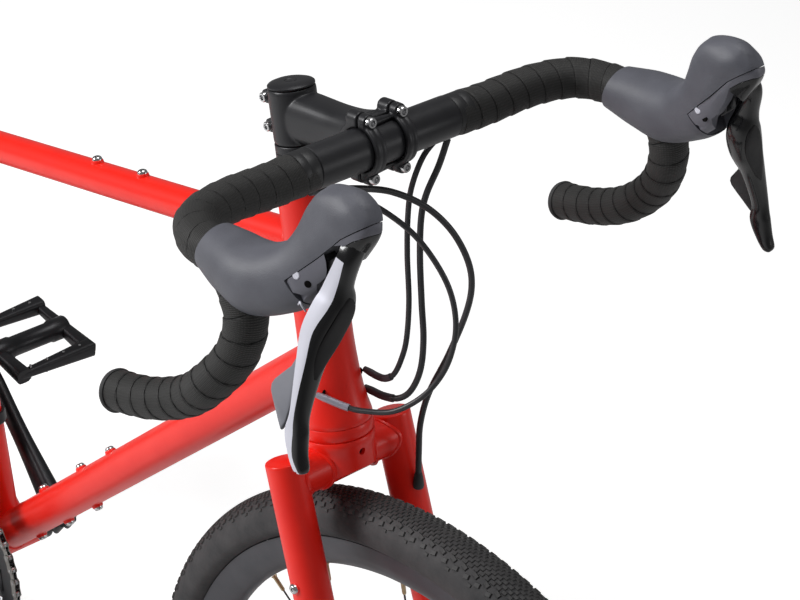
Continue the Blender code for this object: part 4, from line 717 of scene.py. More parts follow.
def make_main_frame():
    """Head tube, top tube, down tube, seat tube and shell, with their weld beads."""
    head = turned(pairs(168, 6030, 213, 6030, 220, 6022, 220, 5960, 216, 5900, 215, 5000, 216, 4800, 220, 4680,
                        229, 4520, 243, 4380, 262, 4275, 276, 4215, 284, 4178, 285, 4150, 280, 4139, 168, 4139),
                  STEER_FOOT, STEER_UP, 72, closed=True)
    cup = turned(pairs(168, 4136, 281, 4136, 285, 4130, 284, 4060, 276, 4036, 270, 4031, 168, 4031), STEER_FOOT,
                 STEER_UP, 72, closed=True)
    shell = turned(both_ways(pairs(180, -340, 204, -340, 210, -334)), BB, Y_AXIS, 56, closed=True)
    finished("head_tube", [head, cup], PAINT, "frame_body", ("frame",))
    tubes = [rod(TOP_TUBE_FRONT, TOP_TUBE_BACK, TOP_TUBE_RADIUS, 48),
             rod(DOWN_TUBE_FRONT, BB, DOWN_TUBE_RADIUS, 56),
             rod(BB, seat_point(0.458), SEAT_TUBE_RADIUS, 48), shell]
    finished("main_tubes", tubes, PAINT, "frame_body")
    beads = [bead(STEER_FOOT, STEER_UP, 0.0215, TOP_TUBE_BACK, TOP_TUBE_FRONT, TOP_TUBE_RADIUS),
             bead(STEER_FOOT, STEER_UP, 0.0216, BB, DOWN_TUBE_FRONT, DOWN_TUBE_RADIUS),
             bead(BB, SEAT_UP, SEAT_TUBE_RADIUS, TOP_TUBE_FRONT, TOP_TUBE_BACK, TOP_TUBE_RADIUS),
             bead(BB, Y_AXIS, SHELL_RADIUS, DOWN_TUBE_FRONT, BB, DOWN_TUBE_RADIUS),
             bead(BB, Y_AXIS, SHELL_RADIUS, seat_point(0.3), BB, SEAT_TUBE_RADIUS)]
    finished("frame_welds", beads, PAINT, "frame_body")


def make_stays():
    """Chain stays, seat stays, bridges, dropouts and the brake's flat seat."""
    parts = []
    for sign in (-1, 1):
        low = sided(triples(-1080, 225, 2970, -1600, 335, 3045, -3000, 520, 3240, -4200, 685, 3410,
                            -5120, 752, 3530), sign)
        sized = [(*p, r) for p, r in zip(low, (0.0085, 0.008, 0.0095, 0.0088, 0.0064))]
        rows = smooth_curve(sized, 8)
        parts.append(sweep([r[:3] for r in rows], [(r[3], r[3] * 1.15) for r in rows], 20))
        high = sided(triples(-1980, 140, 6680, -2300, 300, 6370, -3000, 440, 5690, -4200, 665, 4550,
                             -5130, 745, 3660), sign)
        parts.append(sweep(smooth_curve(high, 8), 0.0076, 20))
        drop = pairs(-5000, 3440, -4900, 3560, -5020, 3750, -5150, 3820, -5410, 3720, -5450, 3550, -5410, 3400,
                     -5250, 3350)
        if sign < 0:
            drop = drop[:6] + pairs(-5430, 3350, -5400, 3160, -5230, 3140, -5180, 3340)
        parts.append(side_plate(drop, sign * 0.0713, sign * 0.0778, 0.001))
    parts.append(rod((-0.233, -0.034, 0.634), (-0.233, 0.034, 0.634), 0.006, 24))
    parts.append(rod((-0.152, -0.034, 0.3035), (-0.152, 0.034, 0.3035), 0.0065, 24))
    seat = pairs(-4880, 3450, -4300, 3420, -4360, 3920, -4620, 3980)
    parts.append(side_plate(seat, 0.0705, 0.0775, 0.0012))
    finished("stays_and_dropouts", parts, PAINT, "frame_body", sharp=50)


def boss_bolt(foot, out, height, parts, bolts):
    """A painted boss with a button-headed socket bolt in it."""
    top = foot + out * (height - 0.003)
    parts.append(rod(foot - out * 0.003, top, 0.006, 24, 0.005, 0.0006))
    bolts.append(turned(pairs(0, 10, 13, 10, 15, 26, 24, 29, 34, 24, 41, 14, 43, 0, 0, 0), top, out, 24))


def make_bosses():
    """Bolted bosses on the top tube, on the down tube and under it."""
    top_way, down_way = (TOP_TUBE_FRONT - TOP_TUBE_BACK).normalized(), (DOWN_TUBE_FRONT - BB).normalized()
    parts, bolts = [], []
    for foot, way, side, radius, places in (
            (TOP_TUBE_BACK, top_way, 1, TOP_TUBE_RADIUS, (0.26, 0.324)),
            (BB, down_way, 1, DOWN_TUBE_RADIUS, (0.115, 0.2, 0.264)),
            (BB, down_way, -1, DOWN_TUBE_RADIUS, (0.07, 0.134, 0.198))):
        square = Vector((-way.z, 0.0, way.x)) * side
        for along in places:
            boss_bolt(foot + way * along + square * radius, square, 0.0052, parts, bolts)
    finished("frame_bosses", parts, PAINT, "frame_body")
    finished("frame_boss_bolts", bolts, CHROME, "frame_body")


# Fork

def make_fork():
    """Crown with a slanted foot, short arms, two round legs with flat caps, dropouts and bosses."""
    crown = turned(pairs(0, 3300, 262, 3300, 262, 3860, 265, 3900, 276, 3950, 284, 3975, 285, 4020, 280, 4028,
                         155, 4028, 143, 4260, 143, 6800, 0, 6800), STEER_FOOT, STEER_UP, 72)
    slope = (STEER_AHEAD * 0.12 + STEER_UP * 0.058).normalized()
    square = (STEER_UP * 0.12 - STEER_AHEAD * 0.058).normalized()
    bmesh.ops.recalc_face_normals(crown, faces=crown.faces)
    cut = bmesh.ops.bisect_plane(crown, geom=crown.verts[:] + crown.edges[:] + crown.faces[:], dist=1e-7,
                                 plane_co=steer_point(0.365), plane_no=square, clear_inner=True)
    rim = [e for e in cut["geom_cut"] if isinstance(e, bmesh.types.BMEdge)]
    bmesh.ops.contextual_create(crown, geom=rim)
    hole = rod(steer_point(0.3915, 0.012), steer_point(0.3915, 0.04), 0.003, 24)
    crown = carved([crown], [hole])
    finished("fork_crown", crown, PAINT, "steering", ("fork",), rims=0.0005)
    # painted shade: a near-black disc inside the crown's hole stands for its dark depth
    dark = rod(steer_point(0.3915, 0.0215), steer_point(0.3915, 0.0225), 0.0031, 16)
    finished("crown_hole_shade", dark, PAINTED_HOLE_SHADE, "steering")

    legs, beads, parts, bolts = [], [], [], []
    top = steer_point(0.394)
    arm = steer_point(0.38)
    for sign in (-1, 1):
        head = top + Y_AXIS * sign * LEG_SIDE
        foot = FRONT_AXLE + Y_AXIS * sign * 0.0588
        down = (foot - head).normalized()
        path = [head - down * 0.004, head - down * 0.0036, head - down * 0.0028, head - down * 0.0014, head,
                head + down * 0.15, head + down * 0.2, head + down * 0.25, head + down * 0.3,
                foot - down * 0.03, foot - down * 0.006]
        sizes = [0.0142, 0.015, 0.0153, 0.0154, 0.0154, 0.0154, 0.0145, 0.0131, 0.0118, 0.0094, 0.0086]
        legs.append(sweep(path, sizes, 48, X_AXIS))
        legs.append(rod(arm, arm + Y_AXIS * sign * 0.05, 0.016, 48))
        beads.append(bead(STEER_FOOT, STEER_UP, 0.0262, arm + Y_AXIS * sign * LEG_SIDE, arm, 0.016, 0.002))
        beads.append(bead(head, down, 0.0154, arm, arm + Y_AXIS * sign * LEG_SIDE, 0.0153, 0.002))
        drop = pairs(5090, 3750, 5120, 3490, 5250, 3405, 5375, 3480, 5395, 3610, 5290, 3810)
        legs.append(side_plate(drop, sign * 0.0503, sign * 0.0638, 0.0016))
        for along in (0.096, 0.16, 0.224):
            spot = head + down * along + Y_AXIS * sign * 0.0148
            boss_bolt(spot, Y_AXIS * sign, 0.0039, parts, bolts)
    seat = pairs(4520, 3920, 4620, 3780, 5020, 3920, 4940, 4280, 4700, 4250)
    parts.append(side_plate(seat, 0.0505, 0.06, 0.0012))
    finished("fork_legs", legs, PAINT, "steering", sharp=50)
    finished("fork_welds", beads, PAINT, "steering")
    finished("fork_bosses", parts, PAINT, "steering")
    finished("fork_boss_bolts", bolts, CHROME, "steering")


# Headset, stem and handlebar

def make_headset():
    """Conical cover, a spacer in two rings, and the cap on the steerer."""
    cover = turned(pairs(150, 6033, 226, 6033, 232, 6040, 226, 6070, 180, 6240, 172, 6252, 150, 6252), STEER_FOOT,
                   STEER_UP, 64, closed=True)
    spacers = [turned([(0.015, low), (0.0178, low), (0.0182, low + 0.0005), (0.0182, high - 0.0005),
                       (0.0178, high), (0.015, high)], STEER_FOOT, STEER_UP, 64, closed=True)
               for low, high in ((0.6256, 0.6315), (0.6318, 0.638))]
    finished("headset_cover", [cover, *spacers], STEM_BLACK, "steering", ("headset_spacers",))
    cap = turned(pairs(0, 6846, 36, 6846, 40, 6844, 44, 6841, 50, 6846, 90, 6847, 140, 6843, 168, 6833, 178, 6824,
                       179, 6814, 172, 6811, 0, 6811), STEER_FOOT, STEER_UP, 72)
    finished("steerer_cap", cap, STEM_BLACK, "steering", ("top_cap",), slot="black_gloss")


def socket_bolt(foot, out, radius, height):
    """A cap bolt with a socket in its head."""
    return turned([(0.0, 0.0), (radius, 0.0), (radius, height - 0.0008), (radius - 0.0006, height),
                   (radius * 0.56, height), (radius * 0.5, height - 0.0006), (radius * 0.48, height - 0.0026),
                   (0.0, height - 0.0028)], foot, out, 28)


def bar_hole():
    """The bar's bore through the stem's clamp, to cut with."""
    return rod(BAR_CENTRE - Y_AXIS * 0.05, BAR_CENTRE + Y_AXIS * 0.05, 0.0163, 48)


def make_stem():
    """Forged stem with lugs, its two-band faceplate, and six steel bolts."""
    corners = [(v, BAR_CENTRE + CLAMP_UP * v * LUG_RISE + Y_AXIS * s * BAND_SIDE) for s in (-1, 1) for v in (-1, 1)]
    clamp = turned(pairs(0, 6385, 172, 6385, 180, 6393, 182, 6420, 182, 6780, 178, 6800, 170, 6806, 0, 6806),
                   STEER_FOOT, STEER_UP, 56)
    rows = smooth_curve([(0.0, 0.658, 0.0165, 0.02), (0.02, 0.6575, 0.016, 0.0188),
                         (0.05, 0.656, 0.0155, 0.0168), (0.07, 0.655, 0.0165, 0.017),
                         (0.086, 0.6545, 0.0185, 0.019)], 6)
    neck = sweep([steer_point(r[1], r[0]) for r in rows], [(r[2], r[3]) for r in rows], 40, Y_AXIS, 2.7)
    drum = rod(BAR_CENTRE - Y_AXIS * 0.0205, BAR_CENTRE + Y_AXIS * 0.0205, 0.0206, 56)
    bodies = [clamp, neck, drum]
    for up in PINCH_RISES:
        for ahead, radius in ((-0.018, 0.0054), (-0.014, 0.0056)):
            bodies.append(rod(steer_point(up, ahead, -0.0112), steer_point(up, ahead, 0.0112), radius, 24))
    for v, corner in corners:
        for spot, radius in ((corner, 0.0058), (corner - CLAMP_UP * v * 0.005, 0.0056)):
            bodies.append(rod(spot - CLAMP_AHEAD * 0.012, spot - CLAMP_AHEAD * 0.0008, radius, 24))
    split = plate(pairs(-5, -500, 600, -500, 600, 500, -5, 500), BAR_CENTRE, CLAMP_AHEAD, CLAMP_UP, 0.08)
    bore = rod(steer_point(0.6), steer_point(0.7), 0.015, 40)
    slit = plate(pairs(-400, 6300, -120, 6300, -120, 6900, -400, 6900), STEER_FOOT, STEER_AHEAD, STEER_UP, 0.002)
    stem = carved(bodies, [split, bar_hole(), bore, slit], 0.0008, 7)
    finished("stem_body", stem, STEM_BLACK, "steering", ("stem",), sharp=180)

    bands = []
    for s in (-1, 1):
        centre = BAR_CENTRE + Y_AXIS * s * BAND_SIDE
        bands.append(turned(both_ways(pairs(164, -48, 188, -50, 204, -40, 204, -14, 199, -6)), centre, Y_AXIS, 72,
                            closed=True))
        for v in (-1, 1):
            for reach in (LUG_RISE, 0.0184):
                spot = centre + CLAMP_UP * v * reach
                bands.append(rod(spot + CLAMP_AHEAD * 0.0008, spot + CLAMP_AHEAD * 0.0075, 0.0056, 28, 0.0054))
    for v in (-1, 1):
        spot = BAR_CENTRE + CLAMP_UP * v * 0.0178 + CLAMP_AHEAD * 0.003
        bands.append(sweep([spot - Y_AXIS * BAND_SIDE, spot + Y_AXIS * BAND_SIDE], (0.004, 0.0017), 12,
                           CLAMP_AHEAD))
    back = plate(pairs(-600, -500, 7, -500, 7, 500, -600, 500), BAR_CENTRE, CLAMP_AHEAD, CLAMP_UP, 0.08)
    face = carved(bands, [back, bar_hole()], 0.0007, 3)
    finished("faceplate_bands", face, STEM_BLACK, "steering", ("stem_faceplate",), sharp=180)

    bolts = []
    for _, spot in corners:
        bolts.append(rod(spot - CLAMP_AHEAD * 0.01, spot + CLAMP_AHEAD * 0.007, 0.0024, 16))
        bolts.append(socket_bolt(spot + CLAMP_AHEAD * 0.0066, CLAMP_AHEAD, 0.004, 0.0049))
    for up in PINCH_RISES:
        bolts.append(socket_bolt(steer_point(up, -0.018, -0.0108), -Y_AXIS, 0.0038, 0.0042))
        bolts.append(rod(steer_point(up, -0.018, -0.011), steer_point(up, -0.018, 0.0125), 0.0022, 16))
    finished("stem_bolts", bolts, CHROME, "steering")


BAR_POINTS = triples(3566, 0, 9865, 3566, 640, 9862, 3574, 1010, 9858, 3616, 1432, 9900, 3726, 1754, 9928,
                     3944, 1900, 9954, 4215, 1920, 9985, 4423, 1975, 9926, 4554, 1995, 9732, 4539, 2045, 9452,
                     4390, 2121, 9163, 4176, 2125, 8918, 3863, 2157, 8709, 3518, 2181, 8560)


def bar_path(sign):
    """The bar's centre line on one side, from the clamp out to the end."""
    return [Vector(point) for point in sided(BAR_POINTS, sign)]


def make_handlebar():
    """The bar between the tapes, thick at the clamp."""
    middle = turned(both_ways(pairs(0, -655, 155, -655, 159, -650)), BAR_CENTRE, Y_AXIS, 72)
    finished("bar_centre", middle, STEM_BLACK, "steering", ("handlebar",))


def tape_route(sign):
    """The centre line of the tape, from beside the stem to the end of the bar."""
    path = even_points(bar_path(sign), 0.0012)
    start = Vector((path[0].x, sign * TAPE_START, path[0].z))
    return [start] + [p for p in path if abs(p.y) > TAPE_START + 0.0008]


TAPE_SIZES = ((0.0, 0.0166), (0.25, 0.0158), (0.6, 0.0152), (1.0, 0.0149))


def spread_over(value, table):
    """The value between the rows of a short table of pairs."""
    for (low, first), (high, last) in zip(table, table[1:]):
        if value <= high:
            return first + (last - first) * (value - low) / (high - low)
    return table[-1][1]


def make_tape(sign, label):
    """Tape wound on in turns that each cover the last, a glossy band at its start, and the end plug."""
    route = tape_route(sign)
    count = 40
    sections, along = [], []
    run = 0.0
    rows = frames_along(route, Z_AXIS)
    length = sum((b - a).length for a, b in zip(route, route[1:]))
    for k, (point, _, first, second) in enumerate(rows):
        if k:
            run += (route[k] - route[k - 1]).length
        ring = []
        for j in range(count):
            angle = 2 * math.pi * j / count
            phase = (run / TAPE_TURN - (angle / (2 * math.pi))) % 1.0
            lift = 0.0011 * min(1.0, phase / 0.07) * (1.0 - 0.75 * phase)
            fade = min(1.0, run / 0.012)
            reach = spread_over(run / length, TAPE_SIZES) - 0.0011 + lift * fade
            ring.append(point + (first * math.cos(angle) + second * math.sin(angle)) * reach)
        sections.append(ring)
        along.append(run)
    finished("bar_tape_wrap_" + label, loft(sections, True, along), TAPE, "steering", ("bar_tape_" + label,),
             sharp=180)
    start = route[0]
    out = Y_AXIS * sign
    bands = [turned([(0.014, low), (TAPE_RADIUS - 0.0002, low), (TAPE_RADIUS, low + 0.0004),
                     (TAPE_RADIUS, high - 0.0004), (TAPE_RADIUS - 0.0002, high), (0.014, high)], start, out, 64,
                    closed=True) for low, high in ((-0.0002, 0.0085), (0.0082, 0.015))]
    finished("finishing_tape_" + label, bands, TAPE_GLOSS, "steering")
    behind = (route[-1] - route[-4]).normalized()
    plug = turned(pairs(0, 70, 50, 69, 54, 64, 58, 68, 92, 62, 128, 48, 150, 26, 157, 4, 150, -10, 0, -10),
                  route[-1], behind, 48)
    finished("bar_end_plug_" + label, plug, PLAIN_RUBBER, "steering", ("bar_plug_" + label,))


# Hoods and levers

HOOD_ROWS = (
    # back x, z; front x, z; y; half width; squareness
    (0.41, 1.0165, 0.4075, 0.981, 0.189, 0.0178, 2.0),
    (0.4303, 1.0225, 0.4345, 0.9785, 0.1916, 0.0212, 2.1),
    (0.444, 1.025, 0.464, 0.981, 0.1925, 0.0235, 2.2),
    (0.4588, 1.0296, 0.4926, 0.9985, 0.19, 0.0217, 2.3),
    (0.4745, 1.0415, 0.5105, 1.0158, 0.1845, 0.0198, 2.5),
    (0.4805, 1.0565, 0.5248, 1.0401, 0.179, 0.018, 2.6),
    (0.484, 1.0735, 0.5344, 1.06, 0.176, 0.0165, 2.6),
    (0.4912, 1.086, 0.54, 1.0745, 0.1749, 0.0152, 2.5),
    (0.506, 1.0935, 0.539, 1.0835, 0.1747, 0.0115, 2.2),
    (0.517, 1.0955, 0.529, 1.0925, 0.174, 0.005, 2.0),
)
LIP_LINE = pairs(4925, 10275, 5100, 10512, 5224, 10700, 5306, 10787, 5370, 10850, 5480, 10880)
LIP_FOOT = pairs(5075, 9700, 5088, 10120, 5040, 10180, 5000, 10216)
BRAKE_PIVOT = (0.502, 0.1835, 1.036)
BLADE_ROWS = (
    # x, y, z, half depth, half width, where the silver starts and ends on the outer face
    (0.5272, 0.1772, 1.07, 0.0055, 0.0075, -0.85, -0.3),
    (0.5287, 0.1851, 1.0585, 0.006, 0.0071, -0.85, 0.2),
    (0.5262, 0.1884, 1.0402, 0.0076, 0.0073, -0.85, 0.52),
    (0.5258, 0.1898, 1.0251, 0.0095, 0.0116, -0.85, 0.45),
    (0.5253, 0.1982, 1.0061, 0.009, 0.0121, -0.85, 0.25),
    (0.5285, 0.2079, 0.986, 0.006, 0.009, -0.85, 0.45),
    (0.5338, 0.2175, 0.958, 0.0048, 0.0061, -0.85, 0.0),
    (0.5356, 0.2202, 0.943, 0.0074, 0.0056, -0.85, 0.15),
    (0.5412, 0.2223, 0.93, 0.0054, 0.0052, -0.85, -0.2),
    (0.5462, 0.2233, 0.9225, 0.0036, 0.0046, -0.85, 0.1),
    (0.5472, 0.2238, 0.92, 0.002, 0.003, -0.85, 0.2),
)
PADDLE_OUTLINE = pairs(5125, 10080, 5160, 10060, 5180, 9950, 5205, 9840, 5235, 9700, 5262, 9570, 5272, 9470,
                       5255, 9410, 5210, 9445, 5164, 9486, 5105, 9535, 5063, 9575, 5050, 9612, 5059, 9650,
                       5098, 9712, 5145, 9785, 5160, 9860, 5150, 9960)
PADDLE_LEAN = 0.38
PADDLE_TOP = 1.008
HOOD_INNER, HOOD_OUTER = 0.14, 0.23
HOOD_POINTS = 40
HOOD_INSET = 0.0005
SILVER_TOP = 1.0596


def hood_form(sign, inset=0.0):
    """The whole grip with its horn, drawn in by inset."""
    sections = []
    rows = smooth_curve(HOOD_ROWS, 5)
    sector = math.pi / 3.5
    for k, (back_x, back_z, front_x, front_z, y, half, power) in enumerate(rows):
        back, front = Vector((back_x, sign * y, back_z)), Vector((front_x, sign * y, front_z))
        centre, up = (back + front) / 2, (back - front).normalized()
        wide, tall = half - inset, (back - front).length / 2 - inset
        share = k / (len(rows) - 1)
        ring = oval(centre, Y_AXIS, up, wide, tall, HOOD_POINTS, power)
        inner = oval(centre, Y_AXIS, up, wide, tall, HOOD_POINTS, 1.72)
        if share > 0.5:
            for j in range(HOOD_POINTS // 2, HOOD_POINTS):
                if (ring[j].y - y * sign) * sign < 0:
                    ring[j] = ring[j].lerp(inner[j], min(1.0, (share - 0.5) / 0.12))
        if share > 0.42:
            facet = min(1.0, (share - 0.42) / 0.2) * 0.55
            for j, point in enumerate(ring):
                around = (2 * math.pi * j / HOOD_POINTS + sector * 0.5) % sector - sector / 2
                flat = math.cos(sector / 2) / math.cos(around) * 1.035
                ring[j] = centre + (point - centre) * (1 - facet + facet * min(1.0, flat))
        sections.append(ring)
    return loft(sections)


def hard_shell(area, cuts, sign):
    """The hood's form inside an area, made on the right and turned to its side."""
    shell = kept_inside(hood_form(-1, HOOD_INSET), side_plate(area, -HOOD_INNER, -HOOD_OUTER), cuts)
    for vert in shell.verts:
        vert.co.y *= -sign
    return shell


def make_hood(sign, label):
    """Rubber grip, hard side cover under its lip, glossy nose cap, and the pivot pin, with dark discs as painted shade
    where its holes are.
    """
    lip = LIP_LINE + [(0.57, 1.088), (0.57, 0.97)] + LIP_FOOT
    front = side_plate(lip, sign * HOOD_INNER, sign * HOOD_OUTER)
    bar = sweep(tape_route(sign)[::4], TAPE_RADIUS - 0.0006, 24, Z_AXIS)
    grip = carved([hood_form(sign)], [front, bar])
    finished("hood_grip_" + label, grip, HOOD, "steering", ("hood_" + label,), sharp=50, rims=0.0006)

    slot = pairs(5075, 9950, 5075, 10150, 5030, 10240, 4925, 10290, 4925, 10460, 5060, 10560, 5230, 10660,
                 5330, 10640, 5600, 10560, 5600, 9950)
    open_side = pairs(5132, 9950, 5129, 10333, 5168, 10394, 5209, 10508, 5238, 10640, 5330, 10640, 5600, 10560,
                      5600, 9950)
    cover_area = pairs(4929, 10272, 5103, 10508, 5227, 10696, 5309, 10783, 5372, 10845, 5480, 10875, 5700, 10875,
                       5700, 10800, 5480, 10795, 5380, 10780, 5306, 10722, 5244, 10650, 5242, 10600, 5600, 10560,
                       5600, 9700, 5082, 9700, 5092, 10122, 5044, 10184, 5004, 10220)
    recess = pairs(4975, 10203, 5012, 10224, 5062, 10224, 5160, 10262, 5200, 10262, 5200, 9700, 4975, 9700)
    cap_area = pairs(5247, 10648, 5308, 10718, 5382, 10776, 5480, 10791, 5700, 10796, 5700, 10440, 5325, 10505,
                     5290, 10585, 5247, 10618)
    flat = pairs(4800, 10900, 5600, 10900, 5600, 9700, 4800, 9700)
    cuts = [side_plate(area, -low, -high) for area, low, high in (
        (slot, 0.1738, 0.1932), (open_side, 0.15, 0.225), (recess, 0.1985, 0.225), (recess, 0.15, 0.169),
        (flat, 0.203, 0.225), (flat, 0.15, 0.1628))]
    cover = hard_shell(cover_area, cuts, sign)
    surface = BVHTree.FromBMesh(cover)
    finished("side_cover_" + label, cover, COVER_PLASTIC, "steering", ("bracket_" + label,), sharp=40, rims=0.0004)
    finished("nose_cap_" + label, hard_shell(cap_area, [], sign), GLOSS_BLACK, "brake_lever_" + label, sharp=40,
             rims=0.0008)

    pins, hole_shade_discs = [], []
    for side, back, well_ahead, well_down in ((HOOD_OUTER, -0.003, 0.0058, -0.0044),
                                              (HOOD_INNER, 0.0, 0.0062, -0.004)):
        inward = Y_AXIS * (-sign if side == HOOD_OUTER else sign)
        for along, down, parts, radius in ((back, back * 0.67, pins, 0.0027),
                                           (well_ahead, well_down, hole_shade_discs, 0.0024)):
            start = Vector((BRAKE_PIVOT[0] + along, sign * side, BRAKE_PIVOT[2] + down))
            spot, out, _, _ = surface.ray_cast(start, inward)
            if spot is None:
                continue
            if out.dot(inward) > 0:
                out = -out
            if parts is pins:
                parts.append(turned([(0.0, 0.0004), (radius - 0.0004, 0.0004), (radius, 0.0), (radius, -0.004),
                                     (0.0, -0.004)], spot, out, 28))
            else:
                # painted shade: a near-black disc stands for the dark inside of a hole
                parts.append(rod(spot - out * 0.001, spot + out * 0.00025, radius, 24))
    spring = even_points(sided(triples(5040, 2010, 10150, 5070, 2030, 10195, 5092, 2045, 10205, 5108, 2040, 10185,
                                       5122, 2020, 10150), sign), 0.0008)
    pins.append(sweep(spring, 0.0006, 10))
    for hole in hole_shade_discs:
        for face in hole.faces:
            face.material_index = 1
    finished("pivot_pin_heads_" + label, joined(pins + hole_shade_discs), SILVER, "steering", extra=(PAINTED_HOLE_SHADE,))


def blade_outline(start, edge):
    """The blade's section: outward and forward shares, starting at its back beside the silver face."""
    return [(0.88, -0.95), (1.0, start), (1.0, (start + edge) / 2), (0.95, edge), (0.86, max(0.64, edge + 0.1)),
            (0.66, 0.86), (0.34, 0.98), (0.0, 1.0), (-0.36, 0.98), (-0.72, 0.86), (-0.94, 0.58), (-1.0, 0.1),
            (-1.0, -0.5), (-0.86, -0.86), (-0.5, -1.0), (0.5, -1.0)]


def make_blade(sign, label):
    """Brake blade: silver outer facet, glossy front and a matte inset, with the paddle behind it."""
    rows = smooth_curve(BLADE_ROWS, 8)
    points = [Vector(point) for point in sided([row[:3] for row in rows], sign)]
    sections, places = [], []
    for (point, tangent, _, _), (_, _, _, deep, half, start, edge) in zip(frames_along(points), rows):
        outward = (Y_AXIS * sign - tangent * tangent.dot(Y_AXIS * sign)).normalized()
        ahead = outward.cross(tangent) * (-sign)
        if ahead.x < 0:
            ahead = -ahead
        places.append((point, outward, ahead, deep, half))
        sections.append([point + outward * (half * u) + ahead * (deep * v) for u, v in blade_outline(start, edge)])
    bm = loft(sections)
    bm.verts.index_update()
    for face in bm.faces:
        spots = {vert.index % len(sections[0]) for vert in face.verts}
        if spots <= {1, 2, 3} and face.calc_center_median().z < SILVER_TOP:
            face.material_index = 1
    finished("brake_blade_face_" + label, bm, GLOSS_BLACK, "shift_blade_" + label, ("brake_blade_" + label,),
             sharp=42, extra=(SILVER,))
    inset = []
    first, last = 20, 42
    for k in range(first, last + 1):
        point, outward, ahead, deep, half = places[k]
        share = (k - first) / (last - first) * 2 - 1
        wide = max(0.02, (1 - abs(share) ** 3.2)) ** 0.5 * 0.66 * half
        middle = point + ahead * (deep * 0.965) - outward * (half * 0.1)
        inset.append(oval(middle, outward, ahead, wide, 0.0011, 16, 2.4))
    finished("blade_inset_" + label, loft(inset), MATTE_INSET, "shift_blade_" + label, sharp=60)
    down = Vector((0.0, sign * PADDLE_LEAN, -1.0)).normalized()
    reach = math.hypot(1.0, PADDLE_LEAN)
    outline = [(x, (PADDLE_TOP - z) * reach) for x, z in PADDLE_OUTLINE]
    paddle = plate(outline, Vector((0.0, sign * 0.199, PADDLE_TOP)), X_AXIS, down, 0.004, 0.0012)
    paddle.normal_update()
    for face in paddle.faces:
        if face.normal.y * sign < -0.2:
            face.material_index = 1
    finished("paddle_" + label, paddle, PADDLE_GREY, "release_paddle_" + label, ("shift_paddle_" + label,),
             sharp=45, extra=(MATTE_INSET,))
    pivot = Vector(sided([BRAKE_PIVOT], sign)[0])
    arm = pairs(4995, 10310, 5105, 10300, 5145, 10360, 5140, 10490, 5095, 10510, 5005, 10420)
    carrier = [side_plate(arm, sign * 0.18, sign * 0.19, 0.001),
               rod(pivot - Y_AXIS * 0.0085, pivot + Y_AXIS * 0.0085, 0.0058, 32, None, 0.0008),
               rod(Vector((pivot.x, sign * 0.17, pivot.z)), Vector((pivot.x, sign * 0.194, pivot.z)), 0.0022, 20)]
    finished("carrier_" + label, carrier, DARK_STEEL, "brake_lever_" + label, ("lever_carrier_" + label,))


# Cables

CABLES = {
    "front_brake_hose": (0.0025, "steering", triples(
        3600, -655, 9690, 3590, -400, 9620, 3580, -120, 9522, 3640, 120, 9440, 3750, 350, 9300, 3870, 520, 9110,
        3970, 630, 8880, 4020, 680, 8650, 4020, 670, 8380, 3960, 610, 7970, 3880, 540, 7580, 3870, 505, 7290,
        3890, 510, 7030, 3915, 530, 6720)),
    "rear_shift_cable": (0.0022, "frame_body", triples(
        3510, -655, 9680, 3510, -420, 9590, 3560, -180, 9470, 3670, 20, 9330, 3830, 170, 9180, 3980, 270, 9000,
        4120, 330, 8800, 4210, 350, 8580, 4250, 330, 8360, 4240, 270, 8120, 4170, 160, 7900, 4020, 30, 7720,
        3820, -80, 7640, 3690, -140, 7620, 3520, -222, 7634)),
    "rear_brake_hose": (0.0025, "frame_body", triples(
        3600, 655, 9690, 3600, 600, 9480, 3580, 530, 9240, 3600, 490, 9050, 3660, 470, 8750, 3750, 460, 8390,
        3830, 450, 8100, 3870, 420, 7850, 3850, 370, 7660, 3780, 320, 7560, 3660, 280, 7520, 3540, 255, 7510)),
    "front_shift_cable": (0.0022, "frame_body", triples(
        3520, 655, 9680, 3510, 520, 9540, 3500, 450, 9290, 3530, 420, 9060, 3600, 395, 8760, 3690, 385, 8390,
        3740, 360, 8080, 3745, 325, 7900, 3725, 290, 7770, 3670, 265, 7705, 3600, 250, 7685, 3520, 240, 7680)),
}


def make_cables():
    """Hoses and housings on their routes, with end sleeves, and a dark ring of painted shade where each enters the
    frame.
    """
    for name, (radius, body, route) in CABLES.items():
        points = even_points(route, 0.003)
        skin = sweep(points, radius, 20, along=[0.003 * k for k in range(len(points))])
        looks = finished(name + "_skin", skin, CABLE_BLACK, None, (name,), sharp=60)
        if body == "steering":
            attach(looks, "steering")
            into = (points[-1] - points[-3]).normalized()
            sleeve = turned(pairs(0, 60, 42, 50, 46, 30, 42, -10, 34, -70, 26, -100, 0, -100), points[-1], into, 32)
            finished("hose_grommet", sleeve, PLAIN_RUBBER, "steering")
            continue
        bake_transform(looks)
        end, before = points[-1], points[-2]
        into = (end - before).normalized()
        long_way = points[-8:] + [end + into * 0.006]
        sizes = [radius + 0.0007] * (len(long_way) - 1) + [radius + 0.0001]
        finish = FERRULE_GREY if name == "rear_shift_cable" else FERRULE_DARK
        finished(name + "_ferrule", sweep(long_way, sizes, 24), finish, "frame_body")
        up = (end - STEER_FOOT).dot(STEER_UP)
        square = (end - STEER_FOOT) - STEER_UP * up
        mouth = STEER_FOOT + STEER_UP * up + square.normalized() * 0.0216
        # painted shade: a near-black ring at the mouth where the cable enters the tube
        ring = turned(pairs(30, -10, 44, -8, 49, 2, 44, 10, 34, 6), mouth + into * 0.001, into, 28, closed=True)
        finished(name + "_mouth_shade", ring, PAINTED_HOLE_SHADE, "frame_body")


# Wheels

